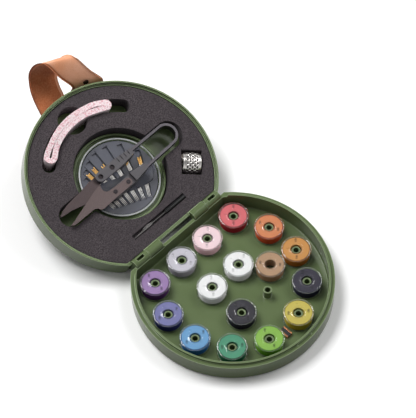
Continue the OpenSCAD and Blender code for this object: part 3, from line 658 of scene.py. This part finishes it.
master = bobbin_master()
winding = thread_profile()
last_side = len(winding) - END_STEPS
for i, ((x, y), (tone, end, side, turn)) in enumerate(zip(PLACES, WOUND), 1):
    body = "bobbin_%02d" % i
    spot = Matrix.Translation(Vector((x, y, FLOOR)) * MM)
    spot = spot @ Matrix.Rotation(math.radians(turn), 4, "Z")
    o = add("bobbin_%02d_clear" % i, master.data.copy())
    o.matrix_world = spot
    stand_in(o, body, "bobbin_clear", body)
    # the end and the side: one thread colour, painted lit and painted shaded
    ends = thread_finish("thread_end_" + tone, end, True)
    wall = thread_finish("thread_side_" + tone, side, False)
    v, f, p = lathe_data(winding, 72, True, lambda k: int(END_STEPS <= k < last_side))
    o = turn_out(make("thread_%02d_wound" % i, v, f, (ends, wall), PART, p, 60))
    o.matrix_world = spot
    stand_in(o, body, "thread_" + tone, "thread_%02d" % i)
bpy.data.objects.remove(master)


# ---------------------------------------------------------------- foam


def rims(name, level, place):
    """Closed outlines, in the placed frame, of a node's flat face at a height."""
    back = place.inverted()
    data = nodes[name].data
    spots = [back @ v.co for v in data.vertices]
    edges = {}
    for poly in data.polygons:
        vs = list(poly.vertices)
        if all(abs(spots[v].z - level) < 0.004 for v in vs):
            flat = [(round(spots[v].x, 3), round(spots[v].y, 3)) for v in vs]
            for a, b in zip(flat, flat[1:] + flat[:1]):
                if a != b:
                    edges[(a, b)] = True
    after = {a: b for (a, b) in edges if (b, a) not in edges}
    loops = []
    while after:
        start, at = after.popitem()
        loop = [start]
        while at != start and at in after:
            loop.append(at)
            at = after.pop(at)
        loops.append(loop)
    return loops


def sheet_of(name, loops, low, high, edge, finish, place):
    """Outlines with holes made solid, with rounded edges, by a filled 2-D curve."""
    curve = bpy.data.curves.new(name, "CURVE")
    curve.dimensions = "2D"
    curve.fill_mode = "BOTH"
    for loop in loops:
        s = curve.splines.new("POLY")
        s.points.add(len(loop) - 1)
        for p, xy in zip(s.points, loop):
            p.co = (xy[0], xy[1], 0, 1)
        s.use_cyclic_u = True
    curve.extrude = (high - low) / 2 - edge
    curve.bevel_depth = edge
    curve.bevel_resolution = 2
    curve.offset = -edge
    o = add(name, curve)
    bpy.context.view_layer.update()
    mesh = bpy.data.meshes.new_from_object(
        o.evaluated_get(bpy.context.evaluated_depsgraph_get())
    )
    bpy.data.objects.remove(o)
    mesh.transform(place @ Matrix.Translation((0, 0, (low + high) / 2)))
    mesh.materials.clear()
    mesh.materials.append(finish.mat)
    mesh.shade_smooth()
    mesh.set_sharp_from_angle(angle=math.radians(40))
    return add(name, mesh)


def within(loop, x0, x1, y0, y1):
    """Whether an outline lies wholly in a box."""
    return all(x0 < p[0] < x1 and y0 < p[1] < y1 for p in loop)


# The thimble's middle in the lid, and how far its axis turns from X, in degrees.
THIMBLE, THIMBLE_TURN = (43.4, 29), 42
FAR = Vector((math.sin(math.radians(THIMBLE_TURN)), math.cos(math.radians(THIMBLE_TURN))))
FAR_SIDE = 5  # points further than this from the thimble's axis are the far side
FAR_IN = 1.4  # how far the pocket's far side is brought towards the thimble

loops = rims("foam_insert", FOAM_TOP, LID)
for loop in loops:
    if within(loop, 30, 57, 15, 43):
        for i, p in enumerate(loop):
            beyond = (Vector(p) - Vector(THIMBLE)).dot(FAR) > FAR_SIDE
            loop[i] = tuple(Vector(p) - FAR * FAR_IN) if beyond else p
# The ripper's pocket is shallow, and the others go through to the lid's floor.
through = [loop for loop in loops if not within(loop, -28, 26, 10, 19)]
RIPPER_FLOOR = FOAM_TOP - 3.2
foam = join(
    sheet_of("foam_tray", loops, RIPPER_FLOOR, FOAM_TOP, 0.3, foam_mat, LID),
    sheet_of("foam_low", through, LID_FLOOR, RIPPER_FLOOR, 0.05, foam_mat, LID),
)
stand_in(foam, "lid", "foam_black", "foam_insert")


# ---------------------------------------------------------------- strap

LID_R, LID_DEPTH = 66.1, 16.4
STRAP_OFF = 1.6  # the strap's middle lies this far off the lid
STRAP_HALF = 11


def part_point(x, v, w):
    """A point given in the lid's frame, as seen in the part's frame."""
    c, s = math.cos(TILT), math.sin(TILT)
    return Vector((x, HINGE_Y + v * c - w * s, HINGE_Z + v * s + w * c))


def beside_wall(x, w, out):
    """A point beside the lid's far wall, out mm further off than the strap's middle."""
    far = LID_OFF + math.sqrt((LID_R + STRAP_OFF + out) ** 2 - x * x)
    return part_point(x, far, w)


# The strap's middle line: up the wall, out and round in a loop (steps from WALL_END), down
# and back under the lid (points of the part), and along the lid's underside.
WALL_END = beside_wall(27, -3.5, 0.9)
LOOP = (
    (-5.5, 5.9, 10.3),
    (-9.5, 13.1, 20.4),
    (-12.5, 17.6, 21.8),
    (-15, 21.7, 17),
    (-17, 24.4, 8.5),
    (-18.5, 23.8, 0.9),
    (-20.5, 20.9, -3.7),
    (-22, 16.6, -8.4),
    (-23.5, 10.4, -12.6),
    (-24.5, 4.2, -17.4),
)
LOW = (
    (2, 160, 18),
    (1.5, 150, 9.6),
    (1, 140, 3.3),
    (0.5, 130, 1.2),
    (0, 121, 1.55),
    (0, 113.5, 4.6),
)
LINE = [beside_wall(27, -12, 0), WALL_END]
LINE += [WALL_END + Vector(p) for p in LOOP] + [Vector(p) for p in LOW]
LINE += [
    part_point(0, v, -LID_DEPTH - STRAP_OFF - gap)
    for v, gap in ((51.1, 2.6), (45.4, 0.2), (41.8, 0), (38, 0))
]
# The way across the strap in the loop, where it leaves the wall, and under the lid.
ACROSS, AT_WALL = Vector((0.934, -0.262, -0.249)), Vector((0.859, -0.509, 0.05))
UNDER = Vector((1, 0, 0))


def strap_at(t):
    """A point of the smooth curve through LINE."""
    last = len(LINE) - 1
    i = min(int(t), last - 1)
    u = t - i
    a, b, c, d = (LINE[max(0, min(last, i + k))] for k in (-1, 0, 1, 2))
    return (
        2 * b
        + (c - a) * u
        + (2 * a - 5 * b + 4 * c - d) * u * u
        + (3 * b - a - 3 * c + d) * u**3
    ) / 2


def strap_frame(t):
    """Middle, along, across and the side that faces into the loop, at place t."""
    last = len(LINE) - 1
    along = (strap_at(min(t + 0.02, last)) - strap_at(max(t - 0.02, 0))).normalized()
    near, far = max(0, 1 - t / 4), max(0, min(1, (t - 6.5) / 3))
    side = ACROSS + near * (AT_WALL - ACROSS) + far * (UNDER - ACROSS)
    side.normalize()
    return strap_at(t), along, side, along.cross(side).normalized()


def strap_piece():
    """Leather strap: grain outside, suede inside, burnished edges, slightly crowned."""
    half = STRAP_HALF
    section = fillet([(-half, -1), (half, -1), (half, 1), (-half, 1)], 0.55, 4)
    wide = []
    for a, b in zip(section, section[1:] + section[:1]):
        wide.append(a)
        if abs(a[0] - b[0]) > 5:
            wide += [(a[0] + (b[0] - a[0]) * k / 16, a[1]) for k in range(1, 16)]
    n = len(wide)
    steps = 10 * (len(LINE) - 1)
    verts, faces, picks = [], [], []
    for k in range(steps + 1):
        t = k / 10
        mid, along, across, into = strap_frame(t)
        for u, h in wide:
            p = mid + across * u + into * h
            ripple = noise.noise(p * 0.16) * 0.10 * (1 - (abs(u) / half) ** 4)
            verts.append(p + into * ripple)
    for k in range(steps):
        for i in range(n):
            j = (i + 1) % n
            faces.append((k * n + i, k * n + j, (k + 1) * n + j, (k + 1) * n + i))
            u = (wide[i][0] + wide[j][0]) / 2
            h = (wide[i][1] + wide[j][1]) / 2
            picks.append(2 if abs(u) > half - 0.45 else (1 if h > 0 else 0))
    faces += [tuple(range(n))[::-1], tuple(range(steps * n, steps * n + n))]
    picks += [2, 2]
    finishes = (grain_mat, suede_mat, edge_mat)
    return turn_out(make("strap_leather", verts, faces, finishes, PART, picks, 60))


stand_in(strap_piece(), "lid", "strap_leather", "strap")


def rivet_head(name, t, inside):
    """Domed rivet head with a rolled skirt on one face of the strap."""
    flat = 0.75
    mid, _, across, into = strap_frame(t)
    out = into if inside else -into
    along = out.cross(across).normalized()
    m = Matrix.Identity(4)
    for i, axis in enumerate((along, out.cross(along), out)):
        for r in range(3):
            m[r][i] = axis[r]
    place = PART @ Matrix.Translation(mid + out * 1.0) @ m
    dome = [(0.02, -0.4), (0.9, -0.4), (0.9, 0.0), (1.85, 0.0), (2.0, 0.14), (1.95, 0.28)]
    for k in range(8):
        a = math.pi / 2 * k / 8
        dome.append((1.8 * math.cos(a), 0.3 + (flat - 0.3) * math.sin(a)))
    dome.append((0.02, flat))
    return lathe(name, dome, (stud,), place, 48)


heads = join(
    rivet_head("rivet_wall", 0.4, True),
    rivet_head("rivet_stud_in", 1.2, True),
    rivet_head("rivet_stud_out", 1.2, False),
    rivet_head("rivet_floor", 20.4, False),
)
heads.name = "strap_rivet_domes"
stand_in(heads, "lid", "rivet_dark", "strap_rivets")


# ---------------------------------------------------------------- tape measure

TICKS = 400.0  # in a metre


def tape_finish(name, face):
    """Coated cloth tape: its face has ticks across it, and its cut edge shows the weave."""
    f = Finish(name, Roughness=0.6)
    dots = f.noise(780, 2, 0.8)
    warm = f.noise(160, 3)
    base = f.ramp(warm, (0.3, srgb("#f6dfe4")), (0.7, srgb("#f4e9ea")))
    if face:
        uv = f.node("ShaderNodeUVMap")
        uv.uv_map = "UVMap"
        split = f.node("ShaderNodeSeparateXYZ", Vector=uv.outputs["UV"])
        step = f.math("FRACT", f.math("MULTIPLY", split.outputs["X"], TICKS))
        line = f.math("LESS_THAN", step, 0.16)
        low = f.math("LESS_THAN", split.outputs["Y"], 0.34)
        base = f.mix(f.math("MULTIPLY", line, low), base, srgb("#5c2a35"))
    else:
        base = f.mix(f.span(dots, 0.5, 0.58, 0.0, 0.8), base, srgb("#d27f8f"))
        fine = f.noise(5200, 1, 0.5)
        base = f.mix(f.span(fine, 0.58, 0.7, 0.0, 0.5), base, srgb("#fffafa"))
    f.paint(base)
    return f.relief(dots, 0.06, 0.5)


TAPE_R = 49.0  # the slot's middle line
TAPE_LEFT, TAPE_RIGHT = math.radians(-38), math.radians(30)
LAPS, PITCH = 11, 0.345
TAPE_WIDE, TAPE_HALF = 15.0, 0.13  # its width, and half of a turn's thickness as drawn
WAVE = 18  # points between two heights of the wandering upper edge


def hank_gap(a):
    """Half of the opening between the two legs of the hank, at an angle round the slot."""
    near = max(0.0, 1 - (a - TAPE_LEFT) / math.radians(13))
    eye = 0.62 * math.sin(math.pi * min(1, near * 0.98) * 0.5) ** 2
    slit = max(0.0, min(1.0, (a - math.radians(12)) / math.radians(17)))
    return eye + 0.34 * math.sin(math.pi * slit) ** 2


def hank_line():
    """Middle line of the tape: out along one leg, round the end, back along the other."""
    centre = []
    for lap in range(LAPS):
        for leg in range(4):
            count = 26 if leg % 2 == 0 else 10
            for k in range(count):
                u = k / count
                off = 0.12 + PITCH * (lap + (leg + u) / 4)
                if leg == 0:
                    a = TAPE_LEFT + (TAPE_RIGHT - TAPE_LEFT) * u
                    along, radial = 0, off + hank_gap(a)
                elif leg == 2:
                    a = TAPE_RIGHT + (TAPE_LEFT - TAPE_RIGHT) * u
                    along, radial = 0, -off - hank_gap(a)
                else:
                    a, way = (TAPE_RIGHT, 1) if leg == 1 else (TAPE_LEFT, -1)
                    grow = off + hank_gap(a)
                    along = grow * math.sin(math.pi * u) * way
                    radial = grow * math.cos(math.pi * u) * way
                s, c = math.sin(a), math.cos(a)
                r = TAPE_R + radial
                centre.append(Vector((r * s + along * c, r * c - along * s)))
    return centre


def tape_piece():
    """The whole tape wound flat on itself into a hank, on edge in its curved slot."""
    pts = hank_line()
    n = len(pts)
    low, high = LID_FLOOR, LID_FLOOR + TAPE_WIDE
    verts, faces, picks, length = [], [], [], [0.0]
    rng = random.Random(11)
    wander = [rng.uniform(-0.14, 0.0) for _ in range(n // WAVE + 3)]
    for i, p in enumerate(pts):
        a, b = pts[max(0, i - 1)], pts[min(n - 1, i + 1)]
        side = Vector((-(b - a).y, (b - a).x)).normalized() * TAPE_HALF
        if i:
            length.append(length[-1] + (p - pts[i - 1]).length)
        k, u = divmod(i, WAVE)
        top = high + wander[k] + (wander[k + 1] - wander[k]) * u / WAVE
        for s, z in ((1, low), (1, top), (-1, top), (-1, low)):
            verts.append((p.x + side.x * s, p.y + side.y * s, z))
    for i in range(0, 4 * n - 4, 4):
        for e in range(4):
            g = (e + 1) % 4
            faces.append((i + e, i + g, i + 4 + g, i + 4 + e))
            picks.append(e % 2)
    faces += [(0, 1, 2, 3), (4 * n - 1, 4 * n - 2, 4 * n - 3, 4 * n - 4)]
    picks += [1, 1]
    finishes = tape_finish("tape_face", True), tape_finish("tape_edge", False)
    o = make("tape_hank", verts, faces, finishes, LID_MID, picks, 50)
    uv = o.data.uv_layers.new(name="UVMap")
    for poly in o.data.polygons:
        for li in poly.loop_indices:
            i, c = divmod(o.data.loops[li].vertex_index, 4)
            uv.data[li].uv = (length[i] * MM, 0.0 if c in (0, 3) else 1.0)
    return turn_out(o), length[-1] * MM


tape, tape_length = tape_piece()
stand_in(tape, "tape", "tape_pink", "tape_measure")


# ---------------------------------------------------------------- needle case

CASE = LID_MID @ Matrix.Translation((0, 0, LID_FLOOR))
# The photo shows the case lower than the solids have it, and the lid's ring round it too.
CASE_TOP = 5.3
RING_TOP, RING_DROP, RING_IN, RING_OUT = 10.6, 6.0, 30.2, 31.8


def case_cover():
    """Clear cover: a rounded rim with a hazed bead that paints the rim's highlight, a shallow
    panel and a finger notch.
    """
    profile = [
        (28.85, 1.0),
        (28.85, CASE_TOP),
        (25.9, CASE_TOP),
        (25.4, CASE_TOP - 0.3),
        (0.02, CASE_TOP - 0.3),
        (0.02, CASE_TOP - 0.8),
        (27.85, CASE_TOP - 0.8),
        (27.85, 1.0),
    ]
    rounding = [0.3, 0.7, 0.2, 0.15, 0, 0, 0.5, 0.2]
    outline = guard(fillet(profile, rounding, 4, (4, 5)))
    o = lathe("needle_case_clear", outline, (cover,), CASE, 144)
    c, s = math.cos(math.radians(-110)), math.sin(math.radians(-110))
    box = [(26.0, -2.0), (40, -2.0), (40, 2.0), (26.0, 2.0)]
    turned = [(x * c - y * s, x * s + y * c) for x, y in box]
    tool = prism("tool", turned, -1, 9, (cover,), CASE)
    # the bead's haze is a painted highlight round the rim
    low, high = CASE_TOP, CASE_TOP + 0.25
    bead = [(27.0, low), (28.0, low), (28.0, high), (27.0, high)]
    ring = lathe("bead", fillet(bead, 0.11, 2), (highlight_haze,), CASE, 144)
    return join(carve(o, tool), ring)


stand_in(case_cover(), "case_cover", "clear_case", "needle_case_cover")

CUP = [(0.02, 0), (27.5, 0), (27.5, 4.0), (26.5, 4.0), (26.5, 1.0), (0.02, 1.0)]
cup = guard(fillet(CUP, 0.2, 2, (0, 5)))
dish = lathe("needle_case_dish", cup, (cover,), CASE, 144)
stand_in(dish, "needle_case", "clear_case", "needle_case_base")

# Top of the insert that holds the needles, and the corners of the plain band across them.
INSERT_TOP = 4.0
BAND = [(-14.4, 6.0), (-7.6, 3.2), (-0.4, 0.0), (7.3, -0.8), (15.1, -2.5), (24.2, -6.0)]
BAND += [(22.4, -11.2), (16.4, -15.9), (11.1, -15.3), (4.4, -13.6), (-1.3, -11.8)]
BAND += [(-10.1, -8.4), (-19.4, -6.3)]
corners = fillet(BAND, 0.8, 3)
plate = prism("needle_band", corners, INSERT_TOP, INSERT_TOP + 0.35, (insert,), CASE, 0.1)
stand_in(plate, "needle_case", "insert_grey")

GROOVES = 7


def groove(k):
    """Foot and direction of a groove for three needles."""
    return Vector((-17.2 + 4 * k, -14.2 - 1.5 * k)), math.radians(94 - 0.9 * k * k)


def reach_to(foot, along, radius):
    """How far it is from a foot, along a direction, to a circle about the case's middle."""
    b, c = foot.dot(along), foot.length_squared - radius**2
    return -b + math.sqrt(b * b - c)


def groove_shade_strips():
    """Narrow dark strips of painted shade beside the grooves, from the band to the insert's
    rim.
    """
    parts = []
    for k in range(GROOVES):
        foot, a = groove(k)
        along, side = Vector((math.cos(a), math.sin(a))), Vector((-math.sin(a), math.cos(a)))
        foot -= side * 1.95
        ends = foot + along * 6, foot + along * reach_to(foot, along, 24.9)
        half = side * 0.2
        outline = [ends[0] - half, ends[1] - half, ends[1] + half, ends[0] + half]
        low, high = INSERT_TOP - 0.1, INSERT_TOP + 0.03
        # a thin dark sheet on the insert's top that stands for shade; it is not a cut
        parts.append(prism("slit", outline, low, high, (shade_strip_mat,), CASE))
    o = join(*parts)
    o.name = "needle_shade_strips"
    return o


stand_in(groove_shade_strips(), "needle_case", "insert_grey")


def moulded_lid():
    """The lid, with the ring round the needle case only just taller than the case."""
    mesh = nodes["lid_shell"].data.copy()
    back = LID_MID.inverted()
    for v in mesh.vertices:
        spot = back @ v.co
        near = RING_IN < math.hypot(spot.x, spot.y) < RING_OUT
        if near and abs(spot.z - LID_FLOOR - RING_TOP) < 0.6:
            spot.z -= RING_DROP
            v.co = LID_MID @ spot
    mesh.materials.clear()
    mesh.materials.append(shell_lid.mat)
    return add("lid_moulding", mesh)


stand_in(moulded_lid(), "lid", "shell_green", "lid_shell")


def needle_set():
    """Sewing needles with gilt eyes and fine points, side by side in their grooves."""
    parts = []
    rng = random.Random(3)
    level = INSERT_TOP - 0.69
    for k in range(GROOVES):
        foot, a = groove(k)
        along = Vector((math.cos(a), math.sin(a)))
        reach = min(34.0, reach_to(foot, along, 22.05))
        for side in (-1, 0, 1):
            r = 0.42 - 0.02 * (k % 3)
            tip = reach - rng.uniform(0.0, 2.5) * (0.4 if k < 3 else 1)
            eye = tip - 6.5
            shaft = [(0.02, 0.0), (r * 0.45, 2.2), (r * 0.9, 6.5), (r, 10.0)]
            shaft += [(r, eye), (r * 1.04, eye + 0.6)]
            gilt = [(r * 1.04, eye + 0.6), (r * 1.08, tip - 4.2), (r * 0.98, tip - 1.2)]
            gilt += [(r * 0.6, tip - 0.3), (0.02, tip)]
            m = (
                CASE
                @ Matrix.Translation((foot.x, foot.y, level))
                @ Matrix.Rotation(a, 4, "Z")
                @ Matrix.Translation((0, side * 0.92, 0))
                @ Matrix.Rotation(math.pi / 2, 4, "Y")
            )
            parts.append(lathe("needle", shaft, (steel,), m, 14, False))
            parts.append(lathe("needle", gilt, (gold,), m, 14, False))
    o = join(*parts)
    o.name = "needles_gilt"
    return o


stand_in(needle_set(), "needle_case", "needle_steel", "needles")


# ---------------------------------------------------------------- thimble


def thimble_piece():
    """Open ring thimble: a barrel with staggered rows of dimples and a rolled edge."""
    length, middle, end, wall = 12.6, 7.6, 6.9, 0.7
    rows, per = 5, 17  # rows of dimples, and dimples in a row
    around, count = 240, 72  # the mesh's steps round it and along it
    arc = (length**2 / 4 + (middle - end) ** 2) / (2 * (middle - end))
    low, high = 2.2, length - 2.0

    def side(z):
        return middle - arc + math.sqrt(arc**2 - (z - length / 2) ** 2)

    rim = [(end - wall + 0.05, 0.1), (end - 0.15, 0.0), (end + 0.25, 0.1)]
    rim += [(end + 0.36, 0.45), (end + 0.28, 0.85)]
    top = [(end - 0.12, length - 0.1), (end - 0.35, length)]
    top += [(end - wall + 0.05, length - 0.06)]
    inner = [(side(z) - wall, z) for z in (11.6, 9.5, 7.9, 6.3, 4.7, 3.1, 1.0)]
    levels = [1.05 + (length - 1.4) * k / count for k in range(count + 1)]
    verts, faces, pits = [], [], []
    for i in range(around):
        a = 2 * math.pi * i / around
        column = list(rim)
        pits += [0.0] * len(rim)
        for z in levels:
            deep = 0.0
            if low <= z <= high:
                row = (z - low) / (high - low) * rows
                j = min(rows - 1, int(row))
                u = (a / (2 * math.pi) * per + 0.5 * (j % 2)) % 1 - 0.5
                d = math.hypot(u * 2.7, (row - j - 0.5) * 2.1)
                deep = max(0.0, 1 - d * d) ** 0.7
            column.append((side(z) - 0.45 * deep, z))
            pits.append(deep)
        column += top + inner
        pits += [0.0] * len(top + inner)
        verts += [(r * math.cos(a), r * math.sin(a), z) for r, z in column]
        n = len(column)
    for i in range(around):
        b, c = i * n, (i + 1) % around * n
        for k in range(n):
            j = (k + 1) % n
            faces.append((b + k, c + k, c + j, b + j))
    m = (
        LID
        @ Matrix.Translation((*THIMBLE, LID_FLOOR + middle))
        @ Matrix.Rotation(math.radians(-THIMBLE_TURN), 4, "Z")
        @ Matrix.Rotation(math.pi / 2, 4, "Y")
        @ Matrix.Translation((0, 0, -length / 2))
    )
    o = make("thimble_dimpled", verts, faces, (chrome,), m, None, 50)
    # the depth of each dimple, kept for the shade painted into the dimples
    o.data.attributes.new("dimple_shade", "FLOAT", "POINT").data.foreach_set("value", pits)
    return turn_out(o)


stand_in(thimble_piece(), "thimble", "thimble_steel", "thimble")


# ---------------------------------------------------------------- stage

FLOOR_SEEN, FLOOR_BOUNCE = 0.93, 0.36  # the floor as seen, and as it lights the part
FADE = (0.35, 0.9)  # between these distances the floor as seen turns wholly white
FLOOR_HALF = 4000
AIM = Vector((0, 0.05, 0))  # where the lamps point
AMBIENT = 0.30  # the sky as it lights the part
SKY_SEEN, CEILING = 1.0, 0.3  # the sky as seen and mirrored, low down and overhead
DOME = (0.25, 0.8)  # the heights between which it darkens


def backdrop():
    """Pale floor that fades to plain white beyond the part, and bounces less than it shows."""
    f = Finish("backdrop", Roughness=0.9, Specular_IOR_Level=0.0)
    cloud = f.noise(3)

    def grey(level):
        low, high = ([v, v, v, 1] for v in (level, level + 0.01))
        return f.ramp(cloud, (0.3, low), (0.7, high))

    rays = f.node("ShaderNodeLightPath").outputs
    f.paint(f.mix(rays["Is Diffuse Ray"], grey(FLOOR_SEEN), grey(FLOOR_BOUNCE)))
    away = f.node("ShaderNodeVectorMath", Vector=f.coords)
    away.operation = "LENGTH"
    beyond = f.span(away.outputs["Value"], *FADE, 0.0, 1.0)
    seen = f.math("MAXIMUM", rays["Is Camera Ray"], rays["Is Glossy Ray"])
    seen = f.math("MAXIMUM", seen, rays["Is Transmission Ray"])
    glow = f.node("ShaderNodeEmission", Strength=1.0)
    f.blend(f.math("MULTIPLY", seen, beyond), f.bsdf.outputs[0], glow.outputs[0])
    return f


def studio():
    """A dim even sky to light the part, and a white one, darker overhead, to be seen."""
    world = bpy.data.worlds.new("studio")
    bpy.context.scene.world = world
    world.use_nodes = True
    tree = world.node_tree
    add_node, link = tree.nodes.new, tree.links.new
    back = tree.nodes["Background"]
    back.inputs["Color"].default_value = (1, 1, 1, 1)
    back.inputs["Strength"].default_value = AMBIENT
    sky = add_node("ShaderNodeBackground")
    facing = add_node("ShaderNodeSeparateXYZ")
    link(add_node("ShaderNodeTexCoord").outputs["Generated"], facing.inputs[0])
    dome = add_node("ShaderNodeMapRange")
    for key, value in (
        ("From Min", DOME[0]),
        ("From Max", DOME[1]),
        ("To Min", SKY_SEEN),
        ("To Max", CEILING),
    ):
        dome.inputs[key].default_value = value
    link(facing.outputs["Z"], dome.inputs["Value"])
    link(dome.outputs["Result"], sky.inputs["Strength"])
    path = add_node("ShaderNodeLightPath").outputs
    share = path["Is Camera Ray"]
    for kind in ("Is Glossy Ray", "Is Transmission Ray"):
        more = add_node("ShaderNodeMath")
        more.operation = "MAXIMUM"
        link(share, more.inputs[0])
        link(path[kind], more.inputs[1])
        share = more.outputs[0]
    both = add_node("ShaderNodeMixShader")
    for k, source in enumerate((share, back.outputs[0], sky.outputs[0])):
        link(source, both.inputs[k])
    link(both.outputs[0], tree.nodes["World Output"].inputs["Surface"])


def lamp(name, where, size, power):
    """A soft rectangular lamp, aimed at AIM."""
    data = bpy.data.lights.new(name, "AREA")
    data.shape = "RECTANGLE"
    data.size, data.size_y = size
    data.energy = power
    o = add(name, data)
    o.location = where
    o.rotation_euler = (AIM - Vector(where)).to_track_quat("-Z", "Y").to_euler()


half = FLOOR_HALF
corners = [(-half, -half, 0), (half, -half, 0), (half, half, 0), (-half, half, 0)]
floor = make("floor", corners, [(0, 1, 2, 3)], (backdrop(),))
studio()
lamp("key", (-0.15, 0.75, 1.25), (0.8, 0.6), 18.5)
lamp("fill", (0.8, -0.2, 1.1), (0.6, 0.6), 6)

# ---------------------------------------------------------------- camera

# The photo's view: direction, distance, sideways and upward shift, and focal length in px.
AZ, EL, DIST = math.radians(-45.08), math.radians(58.07), 1.8
SHIFT_X, SHIFT_Y = -0.01635, 0.05324
FOCAL_PX, IMAGE_PX, SENSOR = 2711.2, 416, 36

away = Vector((math.sin(AZ) * math.cos(EL), -math.cos(AZ) * math.cos(EL), math.sin(EL)))
camera = bpy.data.cameras.new("camera")
camera.sensor_fit = "HORIZONTAL"
camera.sensor_width = SENSOR
camera.lens = FOCAL_PX / IMAGE_PX * SENSOR
camera.clip_end = 20
eye = add("camera", camera)
turn = (-away).to_track_quat("-Z", "Y")
eye.rotation_mode = "QUATERNION"
eye.rotation_quaternion = turn
right_axis, up_axis = turn @ Vector((1, 0, 0)), turn @ Vector((0, 1, 0))
eye.location = away * DIST + right_axis * SHIFT_X + up_axis * SHIFT_Y
bpy.context.scene.camera = eye
bpy.context.scene.view_settings.view_transform = "Standard"
